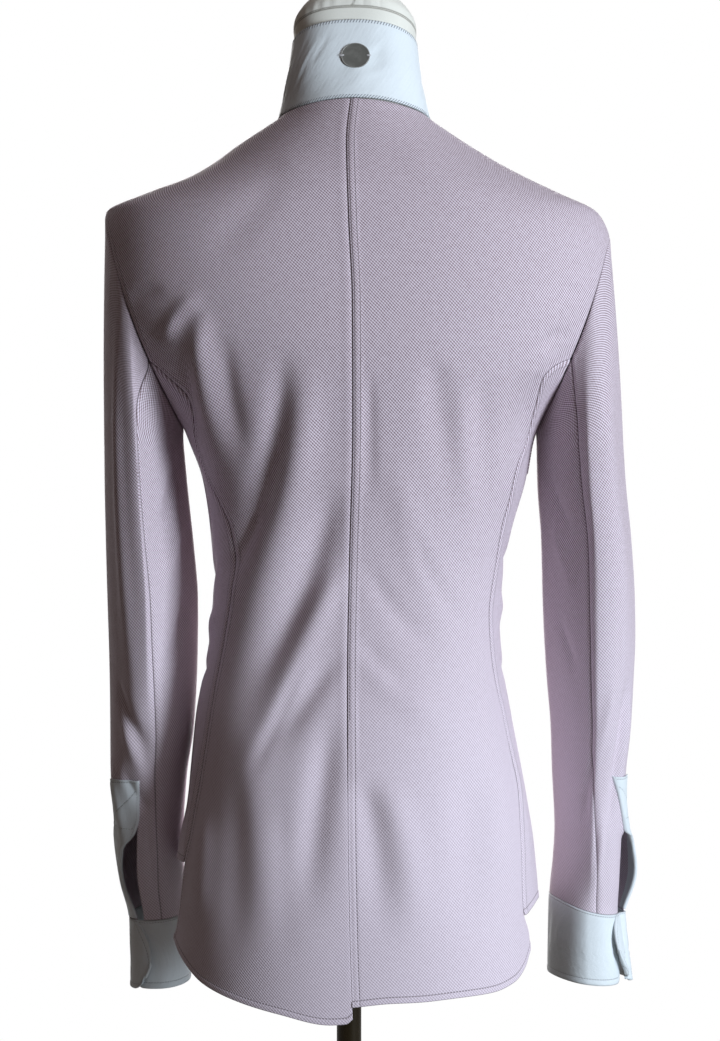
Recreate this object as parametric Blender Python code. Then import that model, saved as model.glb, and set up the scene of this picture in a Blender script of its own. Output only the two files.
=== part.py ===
"""Show shirt with a stand collar, worn by a limbless dress form on a pole.

The front of the shirt faces -Y and its wearer's left is +X. The floor is z = 0 and the pole is on the
Z axis. The body panels lie on one torso surface and the sleeve panels on one sleeve surface a side.
Sizes and places are in metres.
"""

from math import asin, atan2, cos, exp, hypot, pi, radians, sin, tau

import bmesh
import bpy
import numpy as np
from mathutils import Matrix, Vector

# Driving dimensions
GARMENT_X = -0.0046  # the shirt hangs this far to its wearer's right of the pole
SEAM_GAP = 0.0003  # clear space between two pieces that meet
CLOTH = 0.0012  # wall of the body and the sleeves
CUFF_CLOTH = 0.0018
COLLAR_CLOTH = 0.0020
PLACKET_CLOTH = 0.0012
COLLAR_RISE = 0.0008  # the collar's lower edge is this far above the neckline
FRONT_BUTTONS = 7
BUTTON_RADIUS = 0.0052
BUTTON_THICKNESS = 0.0020
CUFF_BUTTON_RADIUS = 0.0042
CUFF_BUTTON_THICKNESS = 0.0014
BADGE_WIDTH = 0.0220
BADGE_HEIGHT = 0.0205
BADGE_THICKNESS = 0.0014
BADGE_AT = (radians(90.5), 0.53)  # its angle and its share of the collar's height
POLE_RADIUS = 0.0095
BASE_RADIUS = 0.190
BASE_THICKNESS = 0.014
FORM_BOTTOM = 0.800
LEFT, RIGHT = 1, -1


def table(columns, rows):
    """The rows as one array for each named column."""
    return {name: np.array(values, float) for name, values in zip(columns.split(), zip(*rows))}


def spline(keys, values):
    """A cubic through the points that never swings past them."""
    step = np.diff(keys)
    rise = np.diff(values) / step
    slope = np.empty(len(keys))
    slope[0], slope[-1] = rise[0], rise[-1]
    for i in range(1, len(keys) - 1):
        before, after = rise[i - 1], rise[i]
        slope[i] = 2 * before * after / (before + after) if before * after > 0 else 0

    def at(key):
        i = min(max(int(np.searchsorted(keys, key)) - 1, 0), len(step) - 1)
        t = min(max((key - keys[i]) / step[i], 0.0), 1.0)
        return (
            (1 + 2 * t) * (1 - t) ** 2 * values[i]
            + t * (1 - t) ** 2 * step[i] * slope[i]
            + t * t * (3 - 2 * t) * values[i + 1]
            - t * t * (1 - t) * step[i] * slope[i + 1]
        )

    return at


def mix(a, b, t):
    return a + (b - a) * t


def smooth(t):
    t = min(max(t, 0.0), 1.0)
    return t * t * (3 - 2 * t)


# The torso's level sections: half widths to the wearer's left and right, depths behind and in front of
# the middle, and how square each half is (2 is an ellipse). Above 1.31 the half widths are the shoulder line.
TORSO = table(
    "z left right back front square_back square_front",
    (
        (0.690, 0.1420, 0.1440, 0.1200, 0.1200, 2.3, 2.2),
        (0.760, 0.1405, 0.1425, 0.1215, 0.1210, 2.3, 2.2),
        (0.825, 0.1365, 0.1390, 0.1190, 0.1200, 2.3, 2.2),
        (0.860, 0.1300, 0.1340, 0.1150, 0.1185, 2.3, 2.2),
        (0.890, 0.1270, 0.1285, 0.1100, 0.1160, 2.3, 2.2),
        (0.926, 0.1231, 0.1212, 0.1020, 0.1110, 2.3, 2.2),
        (0.960, 0.1170, 0.1150, 0.0910, 0.1050, 2.3, 2.2),
        (1.000, 0.1105, 0.1118, 0.0810, 0.0995, 2.3, 2.2),
        (1.036, 0.1094, 0.1145, 0.0780, 0.0985, 2.3, 2.2),
        (1.069, 0.1118, 0.1207, 0.0810, 0.1020, 2.3, 2.2),
        (1.107, 0.1173, 0.1315, 0.0880, 0.1120, 2.35, 2.1),
        (1.139, 0.1285, 0.1375, 0.0950, 0.1220, 2.4, 2.0),
        (1.152, 0.1340, 0.1425, 0.0980, 0.1255, 2.4, 2.0),
        (1.170, 0.1465, 0.1530, 0.1020, 0.1290, 2.4, 2.0),
        (1.190, 0.1640, 0.1690, 0.1060, 0.1300, 2.4, 2.0),
        (1.215, 0.1820, 0.1855, 0.1085, 0.1275, 2.4, 2.0),
        (1.240, 0.1925, 0.1960, 0.1085, 0.1210, 2.4, 2.0),
        (1.265, 0.1970, 0.1995, 0.1060, 0.1120, 2.35, 2.0),
        (1.285, 0.1968, 0.1990, 0.1030, 0.1040, 2.3, 2.0),
        (1.297, 0.1955, 0.1960, 0.1005, 0.0985, 2.3, 2.0),
        (1.305, 0.1945, 0.1930, 0.0985, 0.0945, 2.25, 2.0),
        (1.314, 0.1920, 0.1870, 0.0960, 0.0905, 2.2, 2.0),
        (1.327, 0.1640, 0.1620, 0.0915, 0.0830, 2.1, 2.0),
        (1.339, 0.1350, 0.1400, 0.0860, 0.0755, 2.1, 2.0),
        (1.351, 0.1160, 0.1210, 0.0795, 0.0675, 2.0, 2.0),
        (1.365, 0.0955, 0.0975, 0.0705, 0.0600, 2.0, 2.0),
        (1.380, 0.0735, 0.0735, 0.0605, 0.0560, 2.0, 2.0),
        (1.395, 0.0573, 0.0573, 0.0505, 0.0535, 2.0, 2.0),
        (1.404, 0.0535, 0.0535, 0.0465, 0.0520, 2.0, 2.0),
    ),
)
TORSO_AT = {name: spline(TORSO["z"], values) for name, values in TORSO.items() if name != "z"}

# Each armhole runs from the underarm point to the shoulder point, bowed outwards between them.
ARMHOLE = {
    LEFT: {"under_x": 0.1330, "under_z": 1.150, "top_x": 0.1920, "top_z": 1.314, "bow": 0.006},
    RIGHT: {"under_x": 0.1405, "under_z": 1.148, "top_x": 0.1960, "top_z": 1.297, "bow": 0.004},
}
NECK_Z = 1.395  # the neckline behind and at the sides
NECK_DIP = 0.047  # how far it drops at the centre front
SHOULDER_SEAM = radians(24)  # how far in front of the shoulder line its seam meets the neckline

CENTRE_BACK = table(
    "z x",
    (
        (0.700, 0.0008),
        (0.776, 0.0035),
        (0.860, 0.0049),
        (0.965, 0.0054),
        (1.045, 0.0040),
        (1.150, 0.0015),
        (1.237, 0.0018),
        (1.300, 0.0046),
        (1.360, 0.0062),
        (1.400, 0.0025),
    ),
)
SIDE_BACK = {
    LEFT: table(
        "z x",
        (
            (0.761, 0.1380),
            (0.772, 0.1350),
            (0.796, 0.1315),
            (0.822, 0.1280),
            (0.843, 0.1225),
            (0.864, 0.1188),
            (0.899, 0.1135),
            (0.950, 0.1057),
            (0.987, 0.0983),
            (1.018, 0.0930),
            (1.046, 0.0912),
            (1.069, 0.0935),
            (1.091, 0.1025),
            (1.109, 0.1120),
            (1.135, 0.1205),
            (1.167, 0.1275),
            (1.179, 0.1355),
            (1.188, 0.1440),
            (1.197, 0.1535),
        ),
    ),
    RIGHT: table(
        "z x",
        (
            (0.757, 0.1320),
            (0.768, 0.1310),
            (0.786, 0.1262),
            (0.833, 0.1240),
            (0.872, 0.1221),
            (0.900, 0.1176),
            (0.932, 0.1117),
            (0.958, 0.1060),
            (0.979, 0.1032),
            (1.005, 0.1020),
            (1.047, 0.1077),
            (1.074, 0.1122),
            (1.091, 0.1168),
            (1.118, 0.1228),
            (1.137, 0.1305),
            (1.165, 0.1367),
            (1.183, 0.1405),
            (1.192, 0.1490),
            (1.199, 0.1615),
        ),
    ),
}
SIDE_FRONT = table("z angle", ((0.750, 34.0), (0.900, 31.0), (1.030, 27.0), (1.130, 24.0)))
FRONT_ARM_Z = 1.196  # where the side-front seam meets the armhole

# Hems: the height at each share of the way from the centre to the panel's outer edge.
HEM = {
    ("back", LEFT): table(
        "along z",
        (
            (0.00, 0.7165),
            (0.03, 0.7130),
            (0.11, 0.7122),
            (0.33, 0.7189),
            (0.51, 0.7255),
            (0.70, 0.7350),
            (0.82, 0.7456),
            (1.00, 0.7620),
        ),
    ),
    ("back", RIGHT): table(
        "along z",
        (
            (0.00, 0.7250),
            (0.20, 0.7277),
            (0.33, 0.7280),
            (0.52, 0.7295),
            (0.71, 0.7305),
            (0.85, 0.7350),
            (0.94, 0.7440),
            (1.00, 0.7580),
        ),
    ),
    ("front", LEFT): table("along z", ((0.0, 0.742), (0.4, 0.745), (0.7, 0.756), (1.0, 0.788))),
    ("front", RIGHT): table("along z", ((0.0, 0.742), (0.4, 0.744), (0.7, 0.751), (1.0, 0.770))),
    ("side", LEFT): table("along z", ((0.0, 0.788), (0.4, 0.810), (0.75, 0.819), (1.0, 0.820))),
    ("side", RIGHT): table("along z", ((0.0, 0.770), (0.4, 0.785), (0.75, 0.789), (1.0, 0.782))),
}

# The largest folds of the back: a line from its top to its foot by way of a bend, the half width of the
# fold, and how far it stands out (a trough is negative).
BACK_FOLDS = table(
    "top_x top_z bend_x bend_z foot_x foot_z width height",
    (
        (0.052, 1.200, 0.061, 1.130, 0.086, 1.030, 0.010, -0.0055),
        (0.033, 1.190, 0.052, 1.085, 0.092, 0.960, 0.016, 0.0050),
        (0.016, 1.100, 0.040, 1.030, 0.090, 0.905, 0.011, -0.0050),
        (0.012, 0.960, 0.032, 0.925, 0.062, 0.890, 0.010, -0.0030),
        (0.016, 0.930, 0.024, 0.860, 0.040, 0.770, 0.012, -0.0055),
        (0.092, 0.900, 0.090, 0.820, 0.096, 0.740, 0.015, -0.0060),
        (-0.004, 0.880, -0.028, 0.840, -0.042, 0.740, 0.011, -0.0050),
        (-0.078, 1.190, -0.082, 1.120, -0.098, 1.020, 0.014, -0.0030),
    ),
)


def half_width(side, z):
    return TORSO_AT["left" if side == LEFT else "right"](z)


def section_point(theta, z):
    """The smooth torso at an angle from the wearer's left towards the back."""
    c, s = cos(theta), sin(theta)
    face = "back" if s >= 0 else "front"
    wide = half_width(LEFT if c >= 0 else RIGHT, z)
    power = TORSO_AT["square_" + face](z)
    reach = (abs(c) / wide) ** power + (abs(s) / TORSO_AT[face](z)) ** power
    radius = reach ** (-1 / power)
    return Vector((GARMENT_X + radius * c, radius * s, z))


def section_normal(theta, z):
    around = section_point(theta + 1e-3, z) - section_point(theta - 1e-3, z)
    up = section_point(theta, z + 5e-4) - section_point(theta, z - 5e-4)
    return around.cross(up).normalized()


def fold_height(folds, x, z):
    """How far the folds' soft troughs and ridges move the cloth at a place."""
    total = 0.0
    for row in range(len(folds["width"])):
        top = np.array((folds["top_x"][row], folds["top_z"][row]))
        bend = np.array((folds["bend_x"][row], folds["bend_z"][row]))
        foot = np.array((folds["foot_x"][row], folds["foot_z"][row]))
        share = min(max((top[1] - z) / (top[1] - foot[1]), 0.0), 1.0)
        line = (1 - share) ** 2 * top + 2 * share * (1 - share) * (2 * bend - (top + foot) / 2) + share**2 * foot
        past = max(z - top[1], foot[1] - z, 0.0)
        off = hypot(x - line[0], past) / folds["width"][row]
        total += folds["height"][row] * exp(-off * off) * smooth(share * 5) * smooth((1 - share) * 4 + 0.2)
    return total


def torso_point(theta, z):
    """The outer face of the shirt's body, with its folds."""
    point = section_point(theta, z)
    if sin(theta) > 0.15:
        height = fold_height(BACK_FOLDS, point.x - GARMENT_X, z)
        point += section_normal(theta, z) * height * smooth((sin(theta) - 0.15) * 4)
    return point


def torso_normal(theta, z):
    around = torso_point(theta + 2e-3, z) - torso_point(theta - 2e-3, z)
    up = torso_point(theta, z + 1e-3) - torso_point(theta, z - 1e-3)
    return around.cross(up).normalized()


def angle_at(side, face, x, z):
    """The angle of the torso's point at a distance from the middle, on the back or the front."""
    power = TORSO_AT["square_" + face](z)
    share = min(x / half_width(side, z), 1.0)
    depth = TORSO_AT[face](z) * max(1 - share**power, 0.0) ** (1 / power)
    return atan2(depth if face == "back" else -depth, side * x)


def around_from(side, angle):
    """An angle measured from the wearer's left, for one measured from a side towards the back."""
    return angle if side == LEFT else pi - angle


def armhole_x(side, z):
    hole = ARMHOLE[side]
    c = (z - hole["under_z"]) / (hole["top_z"] - hole["under_z"])
    return mix(hole["under_x"], hole["top_x"], c) + hole["bow"] * sin(pi * c)


def side_angle_of(side, theta):
    """An angle from a side towards the back, for one from the wearer's left."""
    return theta if side == LEFT else (pi - theta if theta > 0 else -pi - theta)


def side_angle(side, face, x, z):
    return side_angle_of(side, angle_at(side, face, x, z))


def armhole_side_angle(side, face, z):
    return side_angle(side, face, armhole_x(side, z), z)


def neck_z(theta):
    dip = max(-sin(theta), 0.0)
    return NECK_Z - NECK_DIP * dip**1.6


def shoulder_angle(side, z):
    """The shoulder seam: on the shoulder line at the armhole, in front of it at the neck."""
    hole = ARMHOLE[side]
    return -SHOULDER_SEAM * smooth((z - hole["top_z"]) / (NECK_Z - hole["top_z"]) * 1.2)


# The sleeves below the underarm: distances from the middle of the shirt to the outer and inner edges,
# the middle of the depth, half the depth, and how square the section is.
SLEEVE = {
    LEFT: table(
        "z outer inner middle depth square",
        (
            (0.704, 0.1740, 0.1310, -0.061, 0.0410, 2.5),
            (0.735, 0.1760, 0.1320, -0.060, 0.0410, 2.5),
            (0.766, 0.1775, 0.1340, -0.060, 0.0415, 2.6),
            (0.795, 0.1838, 0.1362, -0.057, 0.0430, 2.7),
            (0.828, 0.1880, 0.1362, -0.052, 0.0450, 2.8),
            (0.875, 0.1909, 0.1330, -0.043, 0.0485, 2.8),
            (0.915, 0.1917, 0.1270, -0.035, 0.0520, 2.5),
            (0.965, 0.1926, 0.1240, -0.026, 0.0560, 2.3),
            (1.015, 0.1934, 0.1230, -0.018, 0.0590, 2.2),
            (1.060, 0.1940, 0.1262, -0.012, 0.0600, 2.2),
            (1.100, 0.1942, 0.1300, -0.006, 0.0600, 2.2),
            (1.135, 0.1940, 0.1330, -0.001, 0.0600, 2.2),
        ),
    ),
    RIGHT: table(
        "z outer inner middle depth square",
        (
            (0.701, 0.2110, 0.1545, -0.061, 0.0400, 2.5),
            (0.766, 0.2095, 0.1559, -0.060, 0.0405, 2.5),
            (0.796, 0.2110, 0.1582, -0.057, 0.0420, 2.5),
            (0.828, 0.2115, 0.1593, -0.052, 0.0440, 2.5),
            (0.880, 0.2138, 0.1564, -0.042, 0.0480, 2.4),
            (0.915, 0.2170, 0.1547, -0.035, 0.0520, 2.3),
            (0.955, 0.2184, 0.1508, -0.027, 0.0560, 2.2),
            (0.982, 0.2193, 0.1488, -0.023, 0.0580, 2.2),
            (1.015, 0.2185, 0.1470, -0.018, 0.0590, 2.2),
            (1.062, 0.2150, 0.1454, -0.012, 0.0600, 2.2),
            (1.105, 0.2100, 0.1420, -0.006, 0.0600, 2.2),
            (1.133, 0.2075, 0.1410, -0.001, 0.0600, 2.2),
        ),
    ),
}
SLEEVE_AT = {
    side: {name: spline(rows["z"], values) for name, values in rows.items() if name != "z"}
    for side, rows in SLEEVE.items()
}
SLEEVE_END = 0.766  # the sleeve's lower edge, at the cuff
SLEEVE_TOP = {side: float(rows["z"][-1]) for side, rows in SLEEVE.items()}
CAP_BULGE = 0.001

# Sleeve angles run from the edge next to the body by way of the back to the outer edge and the front.
BACK_SEAM = {
    LEFT: table("z angle", ((0.766, 75.0), (0.828, 69.0), (0.900, 75.0), (0.986, 83.0), (1.135, 86.0))),
    RIGHT: table("z angle", ((0.766, 104.0), (0.844, 92.0), (0.908, 83.0), (1.047, 80.0), (1.133, 75.0))),
}
FRONT_SEAM = 300.0
SLIT_TOP = 0.835
# The slit above the cuff gapes: the angle of its own line, how far its back and front edges turn away
# from that line, in degrees, and how far its front edge stands out.
SLIT = {
    LEFT: table(
        "z line back_turn front_turn out",
        (
            (0.766, 116.0, 9.0, 12.0, 0.000),
            (0.797, 114.0, 11.0, 16.0, 0.002),
            (0.820, 106.0, 6.0, 9.0, 0.002),
            (0.835, 100.0, 0.0, 0.0, 0.000),
            (0.885, 98.0, 0.0, 0.0, 0.000),
        ),
    ),
    RIGHT: table(
        "z line back_turn front_turn out",
        (
            (0.766, 163.0, 8.0, 10.0, 0.005),
            (0.797, 163.0, 13.0, 16.0, 0.015),
            (0.820, 161.0, 8.0, 10.0, 0.010),
            (0.835, 155.0, 0.0, 0.0, 0.005),
            (0.885, 140.0, 0.0, 0.0, 0.000),
        ),
    ),
}
SLIT_AT = {
    side: {name: spline(rows["z"], values) for name, values in rows.items() if name != "z"}
    for side, rows in SLIT.items()
}
PLACKET_TOP = 0.878
PLACKET_ARC = 42.0  # the sleeve placket's width, in degrees of the sleeve

# The cuffs: their lower edges, the angles of each outer end at its top, middle and foot, how far it stands off the sleeve,
# and how far the under end runs past it.
CUFF_BOTTOM = {LEFT: 0.7130, RIGHT: 0.7110}
CUFF_END = {LEFT: (136.0, 106.0, 130.0), RIGHT: (162.0, 152.0, 172.0)}
CUFF_STAND = 0.0062
CUFF_UNDERLAP = 24.0
CUFF_CORNER = 0.009
CUFF_GIRTH = 0.21
CUFF_OFF = 0.0006  # how far the cuff lies outside the sleeve's surface where it is closed

# The collar's upper edge: its half width, its depths behind and in front, and its heights.
COLLAR_TOP = {"side": 0.0488, "back": 0.0350, "front": 0.0580, "z": 1.444, "rise": 0.0136, "fall": 0.038}
COLLAR_ROWS = (0, 0.25, 0.5, 0.75, 1)
FORM_COLUMNS = 44
COLLAR_OVERLAP = 5.0  # degrees that each end runs past the centre front
COLLAR_WAIST = 0.0012  # how far the middle of its height curves in
NECK_CLEAR = 0.0006  # between the collar and the form's neck
CAP_SEAM = 0.010  # the cap's seam is this far above the collar
CAP_HEIGHT = 0.033


def gape(side, phi, z):
    """How far the open slit's front edge pushes the cloth outwards."""
    turn = (phi - radians(SLIT_AT[side]["line"](z))) / radians(42)
    fade = smooth((0.885 - z) / 0.05)
    if turn < -0.1 or fade <= 0:
        return 0.0
    return SLIT_AT[side]["out"](z) * exp(-turn * turn) * smooth((turn + 0.1) * 5) * fade


def sleeve_ring(side, phi, z):
    """The sleeve's level section below the underarm."""
    at = SLEEVE_AT[side]
    outer, inner = at["outer"](z), at["inner"](z)
    wide, deep, power = (outer - inner) / 2, at["depth"](z), at["square"](z)
    c, s = -cos(phi), sin(phi)
    radius = ((abs(c)) ** power + (abs(s)) ** power) ** (-1 / power)
    x = (outer + inner) / 2 + wide * radius * c + gape(side, phi, z)
    return Vector((GARMENT_X + side * x, at["middle"](z) + deep * radius * s, z))


def armhole_point(side, phi):
    """The armhole, at the sleeve's angle."""
    hole = ARMHOLE[side]
    z = mix(hole["under_z"], hole["top_z"], (1 - cos(phi)) / 2)
    face = "back" if sin(phi) >= 0 else "front"
    return section_point(around_from(side, armhole_side_angle(side, face, z)), z)


def sleeve_point(side, phi, drop):
    """The sleeve's outer face: drop goes from 0 at the armhole to 1 at the underarm and 2 at the cuff."""
    if drop >= 1:
        return sleeve_ring(side, phi, mix(SLEEVE_TOP[side], SLEEVE_END, drop - 1))
    start = armhole_point(side, phi)
    end = sleeve_ring(side, phi, SLEEVE_TOP[side])
    ease = sin(pi * drop) * (1 - cos(phi)) / 2
    out = Vector((side * CAP_BULGE * ease, sin(phi) * CAP_BULGE * sin(pi * drop), 0))
    return start.lerp(end, drop) + out


def sleeve_normal(side, phi, drop):
    low, high = max(drop - 0.01, 0.0), min(drop + 0.01, 2.6)
    down = sleeve_point(side, phi, high) - sleeve_point(side, phi, low)
    around = sleeve_point(side, phi + 2e-3, drop) - sleeve_point(side, phi - 2e-3, drop)
    return (around.cross(down) * side).normalized()


def armhole_normal(side, phi):
    """The shared direction of the body's and the sleeve's walls where they meet."""
    hole = ARMHOLE[side]
    z = mix(hole["under_z"], hole["top_z"], (1 - cos(phi)) / 2)
    face = "back" if sin(phi) >= 0 else "front"
    body = section_normal(around_from(side, armhole_side_angle(side, face, z)), z)
    return (body + sleeve_normal(side, phi, 0.04)).normalized()


def armhole_edge(side, phi, towards):
    """A point beside the armhole's seam: on the sleeve's side of it for 1, on the body's for -1."""
    along = armhole_point(side, phi + 0.01) - armhole_point(side, phi - 0.01)
    across = armhole_normal(side, phi).cross(along).normalized()
    if across.x * side < 0:
        across = -across
    return armhole_point(side, phi) + across * towards * SEAM_GAP * 1.05


# Building

for old in list(bpy.data.objects):
    bpy.data.objects.remove(old)
PARTS = bpy.data.collections.new("show_shirt")
bpy.context.scene.collection.children.link(PARTS)


def material(name, colour, roughness, metallic=0.0):
    made = bpy.data.materials.new(name)
    made.use_nodes = True
    shader = made.node_tree.nodes["Principled BSDF"]
    shader.inputs["Base Color"].default_value = (*colour, 1)
    shader.inputs["Roughness"].default_value = roughness
    shader.inputs["Metallic"].default_value = metallic
    return made


LILAC = (0.50, 0.44, 0.50)
WHITE = (0.82, 0.84, 0.86)
CREAM = (0.72, 0.69, 0.60)
PEARL = (0.85, 0.84, 0.80)
BRONZE = (0.045, 0.030, 0.018)
SILVER = (0.60, 0.60, 0.58)


def add_object(name, shape, colour, roughness, metallic=0.0):
    mesh = bpy.data.meshes.new(name)
    shape.to_mesh(mesh)
    shape.free()
    made = bpy.data.objects.new(name, mesh)
    made.data.materials.append(material(name, colour, roughness, metallic))
    mesh.shade_smooth()
    mesh.set_sharp_from_angle(angle=radians(40))
    PARTS.objects.link(made)
    return made


def sheet(name, across, along, place, wall, colour, roughness=0.75, slit=None):
    """A wall of cloth: a grid set on its outer face, then given its thickness.

    across and along are the grid's shares in its two directions, and place gives the outer point and the
    wall's direction for two such shares. slit is the column of cells that a slit takes out, whose edges
    are joined again where they touch.
    """
    shape = bmesh.new()
    inward = shape.verts.layers.float_vector.new("inward")
    column = shape.verts.layers.int.new("column")
    made = bmesh.ops.create_grid(shape, x_segments=len(across) - 1, y_segments=len(along) - 1, size=1)
    for vert in made["verts"]:
        vert[column] = round((vert.co.x + 1) / 2 * (len(across) - 1))
        row = round((vert.co.y + 1) / 2 * (len(along) - 1))
        vert.co, normal = place(across[vert[column]], along[row])
        vert[inward] = -wall * normal
    if slit is not None:
        cells = [f for f in shape.faces if {v[column] for v in f.verts} == {slit, slit + 1}]
        bmesh.ops.delete(shape, geom=cells, context="FACES_ONLY")
        bmesh.ops.remove_doubles(shape, verts=shape.verts, dist=1e-5)
    outer = list(shape.faces)
    shape.normal_update()
    facing = sum(face.normal.dot(face.verts[0][inward]) for face in outer)
    if facing > 0:
        bmesh.ops.reverse_faces(shape, faces=outer)
    extruded = bmesh.ops.extrude_face_region(shape, geom=outer, use_keep_orig=True)
    for vert in (item for item in extruded["geom"] if isinstance(item, bmesh.types.BMVert)):
        vert.co += vert[inward]
    bmesh.ops.recalc_face_normals(shape, faces=shape.faces)
    return add_object(name, shape, colour, roughness)


def shares(count, power=1.0):
    return [(i / count) ** power for i in range(count + 1)]


# Body panels. A side angle is measured from the side towards the back, on both sides of the shirt.
CENTRE_BACK_AT = spline(CENTRE_BACK["z"], CENTRE_BACK["x"])
SIDE_FRONT_AT = spline(SIDE_FRONT["z"], SIDE_FRONT["angle"])
SIDE_BACK_TOP = {side: float(rows["z"][-1]) for side, rows in SIDE_BACK.items()}
SIDE_BACK_AT = {
    side: spline(rows["z"], np.append(rows["x"][:-1], armhole_x(side, SIDE_BACK_TOP[side])))
    for side, rows in SIDE_BACK.items()
}
HEM_AT = {key: spline(rows["along"], rows["z"]) for key, rows in HEM.items()}
TOP_BUTTON_Z, LOW_BUTTON_Z = 1.315, 0.800
SIDE_FRONT_BLEND = 1.120  # above this the side-front seam turns towards its place on the armhole


def centre_back_angle(side, z):
    x = CENTRE_BACK_AT(z)
    return side_angle_of(side, angle_at(LEFT if x > 0 else RIGHT, "back", abs(x), z))


def side_back_angle(side, z):
    return side_angle(side, "back", SIDE_BACK_AT[side](z), z)


def side_front_angle(side, z):
    meet = armhole_side_angle(side, "front", FRONT_ARM_Z)
    share = (z - SIDE_FRONT_BLEND) / (FRONT_ARM_Z - SIDE_FRONT_BLEND)
    return mix(-radians(SIDE_FRONT_AT(z)), meet, smooth(share))


def cap_angle(side, face, z):
    """The sleeve's angle at a height of the armhole."""
    hole = ARMHOLE[side]
    c = min(max((z - hole["under_z"]) / (hole["top_z"] - hole["under_z"]), 0.0), 1.0)
    phi = 2 * asin(c**0.5)
    return phi if face == "back" else tau - phi


def outer_edge(side, face, z):
    """The side angle of a back's or front's outer edge: its side seam, its armhole, its shoulder seam."""
    meet = SIDE_BACK_TOP[side] if face == "back" else FRONT_ARM_Z
    if z <= meet:
        return side_back_angle(side, z) if face == "back" else side_front_angle(side, z)
    if z <= ARMHOLE[side]["top_z"]:
        return armhole_side_angle(side, face, z)
    return shoulder_angle(side, z)


LOW_ROWS = 11  # rows of the body from the side panels' hems to the armholes
ARMHOLE_SHARES = (0, 0.25, 0.50, 0.72, 0.89, 1)  # rows of the backs and fronts up the armhole
SHOULDER_SHARES = (0, 0.10, 0.24, 0.41, 0.59, 0.78, 1)
BAND_SHARE = 0.11  # the fronts' first column, half the band's width


def low_rows(side, face):
    """Shares from a hem to the armhole. Rows of neighbours meet at the side seams."""
    if face != "back":
        return shares(LOW_ROWS)
    hem, vent = HEM_AT["back", side](1), HEM_AT["side", side](1)
    vent = (vent - hem) / (SIDE_BACK_TOP[side] - hem)
    return [0, vent / 2] + [mix(vent, 1, v) for v in shares(LOW_ROWS)]


def panel_rows(side, face):
    """Shares up a back or front: to the side seam's top is 0 to 1, then the armhole, then the shoulder."""
    return (
        low_rows(side, face)
        + [1 + share for share in ARMHOLE_SHARES[1:]]
        + [2 + share for share in SHOULDER_SHARES[1:]]
    )


def row_height(side, face, u, v):
    meet = SIDE_BACK_TOP[side] if face == "back" else FRONT_ARM_Z
    top = ARMHOLE[side]["top_z"]
    if v < 1:
        return mix(HEM_AT[face, side](u), meet, v)
    if v < 2:
        return mix(meet, top, v - 1)
    centre = pi / 2 if face == "back" else -pi / 2
    neck = neck_z(mix(centre, -SHOULDER_SEAM, u))
    return mix(top, neck, v - 2)


def panel_height(side, face, u, v):
    """The height of a share up a back or front. The rows of the two sides meet at the centre."""
    own = row_height(side, face, u, v)
    if v == 0:
        return own
    other = row_height(-side, face, u, np.interp(v, panel_rows(side, face), panel_rows(-side, face)))
    return mix((own + other) / 2, own, smooth((u - BAND_SHARE) / (1 - BAND_SHARE)))


def panel_place(side, face, lift=0.0):
    """Points and wall directions of a back or front, for shares from its centre and up."""

    def place(u, v):
        z = panel_height(side, face, u, v)
        centre = centre_back_angle(side, z) if face == "back" else -pi / 2
        sign = 1 if face == "back" else -1
        radius = (section_point(around_from(side, centre), z).xy - Vector((GARMENT_X, 0))).length
        start = centre - sign * SEAM_GAP / 2 / radius
        edge = outer_edge(side, face, z)
        end = edge + sign * SEAM_GAP / 2 / half_width(side, z)
        alpha = mix(start, end, u)
        theta = around_from(side, alpha)
        if u == 1 and 1 <= v <= 2:
            phi = cap_angle(side, face, z)
            point = armhole_edge(side, phi, -1)
            if v in (1, 2):
                point += section_point(theta, z) - armhole_point(side, phi)
            return point, armhole_normal(side, phi)
        normal = torso_normal(theta, z)
        return torso_point(theta, z) + normal * lift, normal

    return place


TOP_EASE = 3.4  # how much wider the side seams' gaps are where they slant into the armhole


def side_place(side):
    """The side panel: u runs from the side-front seam to the side-back seam, under the armhole."""
    front = cap_angle(side, "front", FRONT_ARM_Z) - tau
    back = cap_angle(side, "back", SIDE_BACK_TOP[side])

    def place(u, v):
        phi = mix(front, back, u)
        hole = ARMHOLE[side]
        top = mix(hole["under_z"], hole["top_z"], (1 - cos(phi)) / 2)
        share = u
        if 0 < u < 1:
            meet = armhole_side_angle(side, "back" if phi >= 0 else "front", top)
            low, high = side_front_angle(side, top), side_back_angle(side, top)
            share = mix(u, min(max((meet - low) / (high - low), 0.0), 1.0), v**2)
        z = mix(HEM_AT["side", side](u), top, v)
        inset = SEAM_GAP / 2 / half_width(side, z) * (1 + TOP_EASE * v**4)
        alpha = mix(side_front_angle(side, z) + inset, side_back_angle(side, z) - inset, share)
        theta = around_from(side, alpha)
        if v == 1:
            point = armhole_edge(side, phi, -1)
            if u in (0, 1):
                point += section_point(theta, z) - armhole_point(side, phi)
            return point, armhole_normal(side, phi)
        return torso_point(theta, z), torso_normal(theta, z)

    return place


# Sleeve panels


def back_seam_angle(side, drop):
    start = cap_angle(side, "back", SIDE_BACK_TOP[side])
    rows = BACK_SEAM[side]
    if drop < 1:
        return mix(start, radians(rows["angle"][-1]), smooth(drop * 1.2))
    return radians(BACK_SEAM_AT[side](mix(SLEEVE_TOP[side], SLEEVE_END, drop - 1)))


def front_seam_angle(side, drop):
    start = cap_angle(side, "front", FRONT_ARM_Z)
    return mix(start, radians(FRONT_SEAM), smooth(drop))


BACK_SEAM_AT = {side: spline(rows["z"], rows["angle"]) for side, rows in BACK_SEAM.items()}
CAP_ROWS, ARM_ROWS = 4, 10


def sleeve_rows():
    upper = [i / CAP_ROWS for i in range(CAP_ROWS)]
    return upper + [1 + i / ARM_ROWS for i in range(ARM_ROWS + 1)]


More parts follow.
